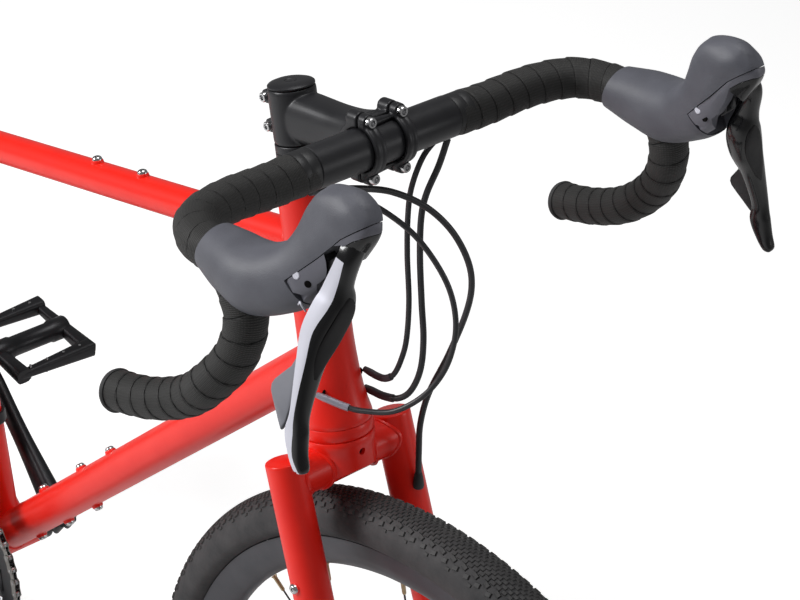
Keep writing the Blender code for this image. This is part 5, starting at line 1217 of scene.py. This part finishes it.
def tyre_point(angle, around, centre, lift):
    """A place on the tyre's casing: angle over its section, around the wheel."""
    a = math.radians(angle)
    reach = TYRE_RADIUS - TYRE_HALF + (TYRE_HALF - 0.0013 + lift) * math.cos(a)
    return centre + wheel_way(around) * reach + Y_AXIS * ((TYRE_HALF - 0.0008 + lift) * math.sin(a))


def knob(bm, angle, around, centre, wide, long, high, turn):
    """One tread block: a short frustum that stands on the casing."""
    low, top = [], []
    for u, v in ((-1, -1), (1, -1), (1, 1), (-1, 1)):
        du = u * math.cos(turn) * wide - v * math.sin(turn) * long
        dv = u * math.sin(turn) * wide + v * math.cos(turn) * long
        for ring, share, lift in ((low, 1.0, -0.0006), (top, 0.72, high)):
            ring.append(bm.verts.new(tyre_point(angle + math.degrees(du * share / 0.0225),
                                                around + dv * share * 2 * math.pi / (2 * math.pi * TYRE_RADIUS),
                                                centre, lift)))
    bm.faces.new(top)
    for k in range(4):
        bm.faces.new((low[k], low[(k + 1) % 4], top[(k + 1) % 4], top[k]))
    bm.faces.new(low[::-1])


def make_tyre(centre, body, label):
    """Casing, with rows of small centre blocks and larger shoulder knobs."""
    foot = pairs(3176, -120, 3190, -152)
    profile = foot[:]
    for angle in range(-112, 113, 8):
        a = math.radians(angle)
        profile.append((TYRE_RADIUS - TYRE_HALF + 0.0219 * math.cos(a), 0.0224 * math.sin(a)))
    profile += mirrored(foot)
    casing = turned(profile, centre, Y_AXIS, 200, closed=True)
    finished(label + "_tyre_casing", casing, TYRE_WALL, body, (label + "_tyre",), sharp=60)
    tread = bmesh.new()
    fine = 372
    for k in range(fine):
        for row, angle in enumerate((-26.0, -17.5, -9.0, 0.0, 9.0, 17.5, 26.0)):
            around = 2 * math.pi * (k + 0.5 * (row % 2)) / fine
            knob(tread, angle, around, centre, 0.0017, 0.0023, 0.0008, 0.0)
    coarse = 186
    for k in range(coarse):
        for side in (-1, 1):
            around = 2 * math.pi * (k + 0.25 * side) / coarse
            knob(tread, side * 36.0, around, centre, 0.002, 0.0034, 0.0012, side * 0.25)
            knob(tread, side * 48.0, around + math.pi / coarse, centre, 0.0022, 0.003, 0.0013, -side * 0.2)
            if k % 2:
                knob(tread, side * 58.0, around, centre, 0.0015, 0.0024, 0.0009, 0.0)
    finished(label + "_tread", tread, TREAD, body, sharp=20)


def make_rim(centre, body, label):
    """Deep rim with rolled edges and a small valve."""
    flank = pairs(3165, -116, 3176, -128, 3172, -137, 3155, -137, 3060, -134, 3000, -127, 2925, -80, 2895, -45)
    profile = [*flank, (0.2887, 0.0), *mirrored(flank), (0.308, 0.0)]
    finished(label + "_rim_hoop", turned(profile, centre, Y_AXIS, 200, closed=True), RIM_GREY, body,
             (label + "_rim",), sharp=50)
    way = wheel_way(math.radians(64))
    foot = centre + way * 0.289
    stem = turned(pairs(0, 0, 30, 0, 30, -190, 22, -200, 22, -235, 0, -240), foot, way, 16)
    nut = turned(pairs(31, 0, 48, 0, 48, -22, 31, -26), foot, way, 12, closed=True)
    finished(label + "_valve", [stem, nut], DARK_STEEL, body)


def make_spokes(centre, body, label, flange_right, flange_left, count, phase):
    """Crossed spokes with bent heads, each in its nipple."""
    spokes, nipples = [], []
    for k in range(count):
        flange = flange_right if k % 2 else flange_left
        lean = 1 if (k // 2) % 2 else -1
        rim_angle = 2 * math.pi * k / count + phase
        hub_angle = rim_angle + lean * math.radians(62.0)
        start = centre + wheel_way(hub_angle, 0.024) + Y_AXIS * (flange + lean * 0.0026)
        end = centre + wheel_way(rim_angle, 0.2885) + Y_AXIS * (-0.0022 if k % 2 else 0.0022)
        way = (end - start).normalized()
        spokes.append(sweep([start - way * 0.002, start + way * 0.005, start + way * 0.03, end - way * 0.012],
                            [0.0012, 0.0012, 0.0009, 0.0009], 6))
        nipples.append(sweep([end - way * 0.015, end - way * 0.014, end - way * 0.002, end],
                             [0.0011, 0.0017, 0.0019, 0.0028], 8))
    finished(label + "_spokes", spokes, DARK_STEEL, body, sharp=60)
    finished(label + "_nipples", nipples, BRASS, body, sharp=60)


def make_hub(centre, body, label, half, flange_right, flange_left, driver):
    """Hub shell with drilled flanges and a toothed seat for the disc."""
    seat = half - DISC_SETBACK - 0.0009 - 0.0003
    edge, slope = pairs(262, -26, 270, -18, 270, 18, 262, 26), pairs(180, 34, 140, 90)
    profile = [(0.007, -half), (0.0095, -half), (0.01, -half + 0.003), (0.016, driver),
               (0.016, flange_right - 0.005), (0.018, flange_right - 0.003)]
    profile += [(radius, flange_right + side) for radius, side in edge + slope]
    profile.append((0.0126, 0.5 * (flange_right + flange_left)))
    profile += [(radius, flange_left + side) for radius, side in mirrored(slope) + edge]
    profile += [(0.0205, seat), (0.0164, seat), (0.011, seat + 0.006), (0.0095, half - 0.001), (0.009, half),
                (0.007, half)]
    finished(label + "_hub_shell", turned(profile, centre, Y_AXIS, 56, closed=True), ALLOY_BLACK, body,
             (label + "_hub",), sharp=35)


def make_rotor(centre, body, label, plane):
    """Brake disc: drilled track, swept arms and a dark centre carrier with its lock ring."""
    bm = bmesh.new()
    spot = centre + Y_AXIS * (plane - DISC_THICK / 2)
    edges = circle_edges(bm, spot, 0.08, 120) + circle_edges(bm, spot, 0.065, 96)
    for k in range(48):
        way = wheel_way(2 * math.pi * k / 48, 0.0685 if k % 2 else 0.0755)
        edges += circle_edges(bm, spot + way, 0.0019, 8)
    bmesh.ops.triangle_fill(bm, use_beauty=True, use_dissolve=False, edges=edges)
    thickened(bm, Y_AXIS * DISC_THICK)
    finished(label + "_rotor_track", bm, STEEL, body, (label + "_rotor",), sharp=30)
    arms = []
    middle = centre + Y_AXIS * plane
    for k in range(5):
        a = math.radians(72 * k + 17)
        path = []
        for reach, swing in ((0.018, 0.0), (0.032, 8.0), (0.048, 18.0), (0.0665, 24.0)):
            path.append(middle + wheel_way(a + math.radians(swing), reach))
        arms.append(sweep(path, pairs(9, 52, 9, 40, 9, 34, 9, 48), 8, Y_AXIS, 5.0))
    carrier = turned(both_ways(pairs(172, -12, 260, -11)), middle, Y_AXIS, 48, closed=True)
    finished(label + "_rotor_arms", [*arms, carrier], STEEL, body, sharp=35)
    lock = turned(pairs(120, 12, 205, 12, 205, 30, 195, 36, 120, 36), middle, Y_AXIS, 32, closed=True)
    finished(label + "_lock_ring", lock, ALLOY_BLACK, body)


# Drive

PITCH = 0.0127
CHAIN_LINE = -0.0504
RING_STEP = 0.007
SPROCKET_STEP = 0.004
SPROCKETS = (11, 13, 15, 17, 19, 22, 26, 32)
GUIDE = Vector((-0.513, 0.251))
TENSION = Vector((-0.471054, 0.185239))
CRANK_ANGLE = math.radians(148.0)


def pin_circle(teeth):
    """Radius of the circle that the chain's pins lie on."""
    return PITCH / (2 * math.sin(math.pi / teeth))


def chain_pins():
    """Every pin of the chain in X and Z, and the angle of a pin on each toothed wheel."""
    wheels = [(Vector((BB.x, BB.z)), 46, -1), (TENSION, 11, -1), (GUIDE, 11, 1),
              (Vector((REAR_AXLE.x, REAR_AXLE.z)), 19, -1)]
    runs = []
    for k in range(4):
        ca, na, oa = wheels[k]
        cb, nb, ob = wheels[(k + 1) % 4]
        gap = cb - ca
        height = ob * pin_circle(nb) - oa * pin_circle(na)
        flat = math.sqrt(gap.length_squared - height * height)
        unit = gap.normalized()
        square = Vector((-unit.y, unit.x))
        along = (unit * flat - square * height) / gap.length
        left = Vector((-along.y, along.x))
        runs.append((ca - left * oa * pin_circle(na), cb - left * ob * pin_circle(nb)))
    pins, phases, start = [], [], 0.0
    for k in range(4):
        a, b = runs[k]
        length = (b - a).length / PITCH
        for n in range(math.ceil(start - 1e-9), math.ceil(start + length - 1e-9)):
            pins.append(a.lerp(b, (n - start) / length))
        start += length
        centre, teeth, turn = wheels[(k + 1) % 4]
        first = math.atan2(b.y - centre.y, b.x - centre.x)
        leave = runs[(k + 1) % 4][0]
        last = math.atan2(leave.y - centre.y, leave.x - centre.x)
        step = 2 * math.pi / teeth
        swept = (last - first) * turn % (2 * math.pi) / step
        head = math.ceil(start - 1e-9)
        phases.append(first + turn * (head - start) * step)
        for n in range(head, math.ceil(start + swept - 1e-6)):
            at = first + turn * (n - start) * step
            pins.append(centre + Vector((math.cos(at), math.sin(at))) * pin_circle(teeth))
        start += swept
    return pins[:110], phases


def make_chain(pins):
    """Inner and outer links in turn, with rollers between them."""
    links, rollers = [], []
    count = len(pins)
    for k, pin in enumerate(pins):
        after = pins[(k + 1) % count]
        way = (after - pin).normalized()
        first = Vector((way.x, 0.0, way.y))
        second = Vector((-way.y, 0.0, way.x))
        spot = Vector(((pin.x + after.x) / 2, CHAIN_LINE, (pin.y + after.y) / 2))
        half = (after - pin).length / 2
        shape = []
        for end in (1, -1):
            for angle in (-75, -38, 0, 38, 75):
                a = math.radians(angle)
                shape.append((end * (half + 0.0036 * math.cos(a)), end * 0.0038 * math.sin(a)))
            shape.append((0.0, end * 0.0026))
        wide = 0.0026 if k % 2 else 0.0016
        for side in (-1, 1):
            links.append(plate(shape, spot + Y_AXIS * side * wide, first, second, 0.0008))
        centre = Vector((pin.x, CHAIN_LINE, pin.y))
        rollers.append(rod(centre - Y_AXIS * 0.0032, centre + Y_AXIS * 0.0032, 0.0014, 8))
        rollers.append(rod(centre - Y_AXIS * 0.0012, centre + Y_AXIS * 0.0012, 0.0033, 10))
    finished("chain_links", links, CHAIN_STEEL, "frame_body", ("chain",), sharp=40)
    finished("chain_rollers", rollers, STEEL, "frame_body", slot="dark_steel", sharp=50)


def toothed_ring(centre, teeth, thickness, phase, inner, windows=()):
    """A flat toothed ring with a round hole and round windows."""
    radius = pin_circle(teeth)
    bm = bmesh.new()
    outline = []
    step = 2 * math.pi / teeth
    for k in range(teeth):
        base = phase + k * step
        for share, reach in ((-0.22, radius - 0.0024), (-0.1, radius - 0.004), (0.1, radius - 0.004),
                             (0.22, radius - 0.0024), (0.44, radius + 0.0026), (0.56, radius + 0.0026)):
            outline.append(bm.verts.new(wheel_way(base + share * step, reach)))
    edges = [bm.edges.new(pair) for pair in zip(outline, outline[1:] + outline[:1])]
    for spot, size, count in ((Vector(), inner, 64), *windows):
        edges += circle_edges(bm, spot, size, count)
    bmesh.ops.triangle_fill(bm, use_beauty=True, use_dissolve=False, edges=edges)
    thickened(bm, Y_AXIS * thickness)
    bmesh.ops.translate(bm, verts=bm.verts, vec=centre - Y_AXIS * (thickness / 2))
    return bm


def make_drive():
    """Chain, chainrings, sprockets and the two small guide wheels, in mesh."""
    pins, phases = chain_pins()
    make_chain(pins)
    rings = [toothed_ring(BB + Y_AXIS * CHAIN_LINE, 46, 0.0018, phases[3], 0.07),
             toothed_ring(BB + Y_AXIS * (CHAIN_LINE + RING_STEP), 30, 0.0018, phases[3], 0.04)]
    bolts = []
    for k in range(4):
        way = wheel_way(CRANK_ANGLE + math.radians(45.0 + 90.0 * k))
        spot = BB + way * 0.044
        rings.append(rod(spot + Y_AXIS * (CHAIN_LINE - 0.0008), spot + Y_AXIS * (CHAIN_LINE + 0.0078), 0.005, 20))
        tab = pairs(-60, 400, 60, 400, 130, 720, -130, 720)
        across = Vector((-way.z, 0.0, way.x))
        rings.append(plate(tab, BB + Y_AXIS * CHAIN_LINE, across, way, 0.0018, 0.0004))
        rings.append(plate(pairs(-50, 350, 50, 350, 60, 500, -60, 500), BB + Y_AXIS * (CHAIN_LINE + RING_STEP),
                           across, way, 0.0018, 0.0004))
        bolts.append(socket_bolt(spot + Y_AXIS * (CHAIN_LINE - 0.0006), -Y_AXIS, 0.0044, 0.0026))
    finished("toothed_rings", rings, ALLOY_BLACK, "crank_body", ("chainrings",), sharp=35)
    finished("ring_bolts", bolts, CHROME, "crank_body")
    stack = []
    for k, teeth in enumerate(SPROCKETS):
        y = CHAIN_LINE - SPROCKET_STEP * 4 + SPROCKET_STEP * k
        reach, size = (pin_circle(teeth) + 0.016) / 2, (pin_circle(teeth) - 0.026) / 3.2
        windows = [(wheel_way(2 * math.pi * n / 8, reach), size, 16) for n in range(8 if teeth > 20 else 0)]
        stack.append(toothed_ring(REAR_AXLE + Y_AXIS * y, teeth, 0.0016, phases[2], 0.019, windows))
    core = turned(pairs(188, -672, 212, -672, 212, -364, 188, -364), REAR_AXLE, Y_AXIS, 48, closed=True)
    stack.append(core)
    finished("sprockets", stack, STEEL, "cassette_body", ("cassette",), sharp=35)
    for flat, name, phase in ((GUIDE, "guide_wheel", phases[1]), (TENSION, "tension_wheel", phases[0])):
        spot = Vector((flat.x, CHAIN_LINE, flat.y))
        windows = [(wheel_way(2 * math.pi * n / 5, 0.0125), 0.0026, 12) for n in range(5)]
        wheel = toothed_ring(spot, 11, 0.002, phase, 0.0037, windows)
        boss = turned(both_ways(pairs(37, -38, 76, -38, 80, -34)), spot, Y_AXIS, 28, closed=True)
        finished(name + "_face", [wheel, boss], PLAIN_RUBBER, name + "_body", (name,), sharp=35)


def make_cranks():
    """Forged arms with rounded ends, spider and pedals."""
    direction = wheel_way(CRANK_ANGLE)
    for sign, label, way, inner in ((-1, "right", -direction, 0.056), (1, "left", direction, 0.053)):
        rows = smooth_curve([(-0.055, 0.006, 0.0085), (-0.04, 0.0088, 0.014), (0.0, 0.01, 0.0165),
                             (0.12, 0.0095, 0.015), (0.5, 0.0068, 0.0115), (0.88, 0.0066, 0.0125),
                             (1.0, 0.0062, 0.012), (1.045, 0.0055, 0.009), (1.065, 0.004, 0.004)], 5)
        path = []
        for share, _, _ in rows:
            out = inner + 0.0075 + 0.01 * min(1.0, max(0.0, share * 1.2))
            path.append(BB + way * CRANK_LENGTH * share + Y_AXIS * sign * out)
        parts = [sweep(path, [row[1:] for row in rows], 28, Y_AXIS, 2.8)]
        eye = BB + way * CRANK_LENGTH + Y_AXIS * sign * 0.077
        parts.append(rod(eye - Y_AXIS * sign * 0.006, eye + Y_AXIS * sign * 0.056, 0.0044, 20))
        if sign < 0:
            parts.append(rod(BB - Y_AXIS * 0.072, BB - Y_AXIS * 0.0445, 0.0175, 40, None, 0.0012))
            parts.append(rod(BB - Y_AXIS * 0.06, BB + Y_AXIS * 0.043, 0.0118, 32))
            for k in range(4):
                out = wheel_way(CRANK_ANGLE + math.radians(45.0 + 90.0 * k))
                path = [BB + Y_AXIS * y + out * reach for y, reach in pairs(-590, 80, -560, 300, -537, 470, -537, 510)]
                parts.append(sweep(path, pairs(50, 90, 36, 74, 18, 62, 18, 40), 20, Y_AXIS, 3.0))
        else:
            parts.append(rod(BB + Y_AXIS * 0.0434, BB + Y_AXIS * 0.074, 0.0165, 40, None, 0.0012))
            for reach in (0.0535, 0.0665):
                spot = BB + way * -0.017 + Y_AXIS * reach
                across = Vector((-way.z, 0.0, way.x))
                parts.append(rod(spot - across * 0.009, spot + across * 0.009, 0.0036, 20))
        finished("crank_arm_" + label, parts, ALLOY_BLACK, "crank_body", ("crank_" + label,), sharp=40)
        cap = turned(pairs(0, 0, 105, 0, 105, 10, 96, 18, 50, 20, 0, 16),
                     BB + Y_AXIS * (-0.0718 if sign < 0 else 0.0738), Y_AXIS * sign, 40)
        finished("crank_cap_" + label, cap, GLOSS_BLACK, "crank_body")
        make_pedal(sign, label, eye)


def make_pedal(sign, label, eye):
    """Platform pedal: cage frame, barrel, end cap and grip pins."""
    body = "pedal_%s_body" % label
    near, far = eye + Y_AXIS * sign * 0.007, eye + Y_AXIS * sign * 0.095
    middle = (near + far) / 2
    parts = []
    for s in (-1, 1):
        for across, along, reach, half, section in ((X_AXIS, Y_AXIS, 0.044, 0.044, (0.004, 0.0085)),
                                                    (Y_AXIS, X_AXIS, 0.0397, 0.048, (0.0043, 0.008))):
            bar = middle + across * (s * reach)
            parts.append(sweep([bar - along * half, bar + along * half], section, 20, across, 4.0))
    parts.append(turned(both_ways(pairs(50, -435, 110, -435, 118, -420, 118, -250, 105, -220)), middle, Y_AXIS,
                        36, closed=True))
    finished("pedal_cage_" + label, parts, ALLOY_BLACK, body, ("pedal_" + label,), sharp=40)
    pins = []
    for s in (-1, 1):
        for y in (-0.03, -0.01, 0.01, 0.03):
            spot = middle + Vector((s * 0.044, y, 0.0))
            pins.append(rod(spot - Z_AXIS * 0.0084, spot + Z_AXIS * 0.0084, 0.0014, 12))
    finished("pedal_pins_" + label, pins, CHROME, body)


# Seat

def saddle_half_width(x):
    """Half the saddle's width at a distance ahead of its tail."""
    t = max(0.0, min(1.0, x / SADDLE_LENGTH))
    wing = 0.0725 * math.exp(-((t - 0.16) / 0.22) ** 2)
    return (wing + 0.0185 * (1 - 0.25 * t)) * min(1.0, 0.55 + 4.0 * t)


def make_saddle():
    """Padded cushion with a centre channel and a piped edge, on its shell and rails."""
    top = seat_point(0.628)
    tail_x, base_z = top.x - 0.128, top.z + 0.04
    sections = []
    stations = 36
    right = [(0.7, 0.02), (0.93, 0.1), (1.0, 0.3), (0.985, 0.52), (0.9, 0.74), (0.74, 0.89), (0.52, 0.975),
             (0.32, 1.0), (0.17, 0.965), (0.09, 0.86)]
    outline = [(-u, v) for u, v in right] + [(0.0, 0.8)] + right[::-1]
    for k in range(stations):
        t = 0.5 - 0.5 * math.cos(math.pi * k / (stations - 1))
        x = SADDLE_LENGTH * t
        end = min(1.0, max(0.0, min(t, 1 - t) / 0.055))
        round_off = math.sqrt(max(0.02, 1 - (1 - end) ** 2))
        half = saddle_half_width(x) * (0.35 + 0.65 * round_off)
        low = base_z + 0.0092 + 0.01 * (x / SADDLE_LENGTH - 0.5) ** 2
        crown = (0.03 + 0.01 * (2 * t - 1) ** 2) * (0.35 + 0.65 * round_off)
        ring = []
        for u, v in outline:
            depth = v
            if abs(u) < 0.2:
                fade = min(1.0, max(0.0, (t - 0.08) / 0.1)) * min(1.0, max(0.0, (0.94 - t) / 0.1))
                depth = 0.995 - (0.995 - v) * fade
            ring.append(Vector((tail_x + x, half * u, low + crown * depth)))
        sections.append(ring)
    cushion = finished("saddle_cushion", loft(sections), SADDLE_SKIN, "frame_body", ("saddle",), sharp=70, levels=1)
    seam = []
    for sign in (-1, 1):
        line = []
        for ring in sections[2:-2]:
            line.append(ring[5 if sign < 0 else 15] + Z_AXIS * 0.0004)
        seam.append(sweep(line, 0.0007, 6))
    finished("saddle_seams", seam, PLAIN_RUBBER, "frame_body", slot="saddle_cover")
    copied("saddle_rails", "saddle_shell_and_rails", ALLOY_BLACK, "frame_body", 0.0008)


def make_seatpost():
    """Post, clamp head and collar."""
    post = rod(seat_point(0.3), seat_point(0.614), 0.0136, 48)
    finished("seatpost_tube", post, ALLOY_BLACK, "frame_body")
    copied("seatpost", "seatpost_head", ALLOY_BLACK, "frame_body", 0.0008)
    low = seat_point(0.442)
    ring = turned(pairs(165, 0, 196, 0, 200, 8, 200, 162, 196, 170, 165, 170), low, SEAT_UP, 56, closed=True)
    spot = low + SEAT_UP * 0.0085 - SEAT_AHEAD * 0.0225
    lug = rod(spot - Y_AXIS * 0.01, spot + Y_AXIS * 0.01, 0.0058, 24, None, 0.0008)
    finished("seat_collar", [ring, lug], ALLOY_BLACK, "frame_body", ("seat_clamp",))
    finished("seat_collar_bolt", socket_bolt(spot - Y_AXIS * 0.01, -Y_AXIS, 0.004, 0.0034), CHROME, "frame_body")


def make_small_parts():
    """Bearings, axles, calipers, pads and both derailleurs, from their solids with rounded rims."""
    cups = turned(both_ways(pairs(128, -425, 200, -425, 210, -415, 210, -343, 168, -343)), BB, Y_AXIS, 48,
                  closed=True)
    finished("bottom_bracket_cups", cups, ALLOY_BLACK, "frame_body", ("bottom_bracket",))
    for centre, half, node, body in ((FRONT_AXLE, 0.05, "front_axle", "steering"),
                                     (REAR_AXLE, 0.071, "rear_axle", "frame_body")):
        outer = half + (0.018 if centre is FRONT_AXLE else 0.0075)
        axle = turned([(0.0, -outer - 0.002), (0.003, -outer - 0.002), (0.0032, -outer - 0.0048),
                       (0.0078, -outer - 0.005), (0.0086, -outer - 0.0042), (0.009, -outer - 0.0003),
                       (0.006, -outer - 0.0003), (0.006, half + 0.007), (0.005, half + 0.008),
                       (0.0, half + 0.008)], centre, Y_AXIS, 36)
        finished(node + "_bolt", axle, ALLOY_BLACK, body, (node,))
    for node, body, finish in (
            ("front_caliper", "steering", ALLOY_BLACK),
            ("rear_caliper", "frame_body", ALLOY_BLACK),
            ("front_pad_inner", "front_pad_inner_slide", DARK_STEEL),
            ("front_pad_outer", "front_pad_outer_slide", DARK_STEEL),
            ("rear_pad_inner", "rear_pad_inner_slide", DARK_STEEL),
            ("rear_pad_outer", "rear_pad_outer_slide", DARK_STEEL),
            ("front_derailleur_clamp", "frame_body", ALLOY_BLACK),
            ("front_derailleur_cage", "front_derailleur_body", DARK_STEEL),
            ("rear_derailleur_knuckle", "frame_body", ALLOY_BLACK),
            ("rear_derailleur_link", "rear_derailleur_body", ALLOY_BLACK),
            ("derailleur_cage", "derailleur_cage_body", ALLOY_BLACK)):
        copied(node, node + "_finish", finish, body, 0.0007)


# Camera, light and floor

def make_camera():
    """The view of the front of the bicycle from its right, from above."""
    azimuth, elevation, roll = math.radians(-46.18), math.radians(35.31), math.radians(7.51)
    back = Vector((math.cos(azimuth) * math.cos(elevation), math.sin(azimuth) * math.cos(elevation),
                   math.sin(elevation)))
    right = Z_AXIS.cross(back).normalized()
    up = back.cross(right)
    across = right * math.cos(roll) + up * math.sin(roll)
    above = up * math.cos(roll) - right * math.sin(roll)
    data = bpy.data.cameras.new("camera")
    data.lens = 108.45
    data.sensor_width = 36.0
    data.clip_start = 0.05
    camera = in_scene("camera", data)
    camera.matrix_world = Matrix.Translation((1.383, -1.028, 1.882)) @ Matrix(
        (across, above, back)).transposed().to_4x4()
    bpy.context.scene.camera = camera


def area_light(name, place, target, size, power):
    """A soft rectangular lamp turned to a point."""
    data = bpy.data.lights.new(name, "AREA")
    data.shape = "RECTANGLE"
    data.size = size
    data.size_y = size
    data.energy = power
    lamp = in_scene(name, data)
    lamp.location = place
    lamp.rotation_euler = (Vector(place) - Vector(target)).to_track_quat("Z", "Y").to_euler()


def background_mix(tree, strength):
    """The strength for rays that see the backdrop straight, else 0."""
    path = tree.nodes.new("ShaderNodeLightPath")
    return maths(tree, "MULTIPLY", path.outputs["Is Camera Ray"], strength)


def make_studio():
    """Pale floor, pale surroundings and soft lamps on both sides."""
    bpy.context.scene.view_settings.view_transform = "Standard"
    world = bpy.data.worlds.new("studio")
    world.use_nodes = True
    tree = world.node_tree
    shade = tree.nodes["Background"]
    shade.inputs["Color"].default_value = (1.0, 1.0, 1.0, 1.0)
    path = tree.nodes.new("ShaderNodeLightPath")
    strength = spread(tree, path.outputs["Is Camera Ray"], 0.0, 1.0, 0.2, 1.0)
    tree.links.new(strength, shade.inputs["Strength"])
    bpy.context.scene.world = world

    bm = bmesh.new()
    bmesh.ops.create_grid(bm, x_segments=8, y_segments=8, size=14.0)
    material, tree, shader = plain_material("pale_floor", (0.9, 0.9, 0.9, 1.0), 0.85, specular=0.2)
    shader.inputs["Emission Color"].default_value = (1.0, 1.0, 1.0, 1.0)
    tree.links.new(background_mix(tree, 0.52), shader.inputs["Emission Strength"])
    mesh = mesh_from(bm, "floor")
    mesh.materials.append(material)
    floor = in_scene("floor", mesh)

    area_light("left_box", (-1.6, -2.4, 2.3), (0.3, 0.0, 0.8), 1.0, 90.0)
    area_light("right_box", (2.6, 2.0, 1.5), (0.4, 0.0, 0.8), 0.8, 8.0)
    area_light("top_box", (0.1, 0.3, 3.2), (0.3, 0.0, 0.8), 1.4, 25.0)


def build():
    """Every piece, then the camera and the studio."""
    make_camera()
    make_main_frame()
    make_stays()
    make_bosses()
    make_fork()
    make_headset()
    make_stem()
    make_handlebar()
    for sign, label in SIDES:
        make_tape(sign, label)
        make_hood(sign, label)
        make_blade(sign, label)
    make_cables()
    for centre, body, label in ((FRONT_AXLE, "front_wheel", "front"), (REAR_AXLE, "rear_wheel", "rear")):
        make_tyre(centre, body, label)
        make_rim(centre, body, label)
    make_spokes(FRONT_AXLE, "front_wheel", "front", -0.034, 0.0225, 20, 0.0)
    make_spokes(REAR_AXLE, "rear_wheel", "rear", -0.019, 0.034, 20, 0.0)
    make_hub(FRONT_AXLE, "front_wheel", "front", 0.05, -0.034, 0.0225, -0.046)
    make_hub(REAR_AXLE, "rear_wheel", "rear", 0.071, -0.019, 0.034, -0.067)
    make_rotor(FRONT_AXLE, "front_wheel", "front", 0.05 - DISC_SETBACK)
    make_rotor(REAR_AXLE, "rear_wheel", "rear", 0.071 - DISC_SETBACK)
    make_drive()
    make_cranks()
    make_saddle()
    make_seatpost()
    make_small_parts()
    make_studio()


build()
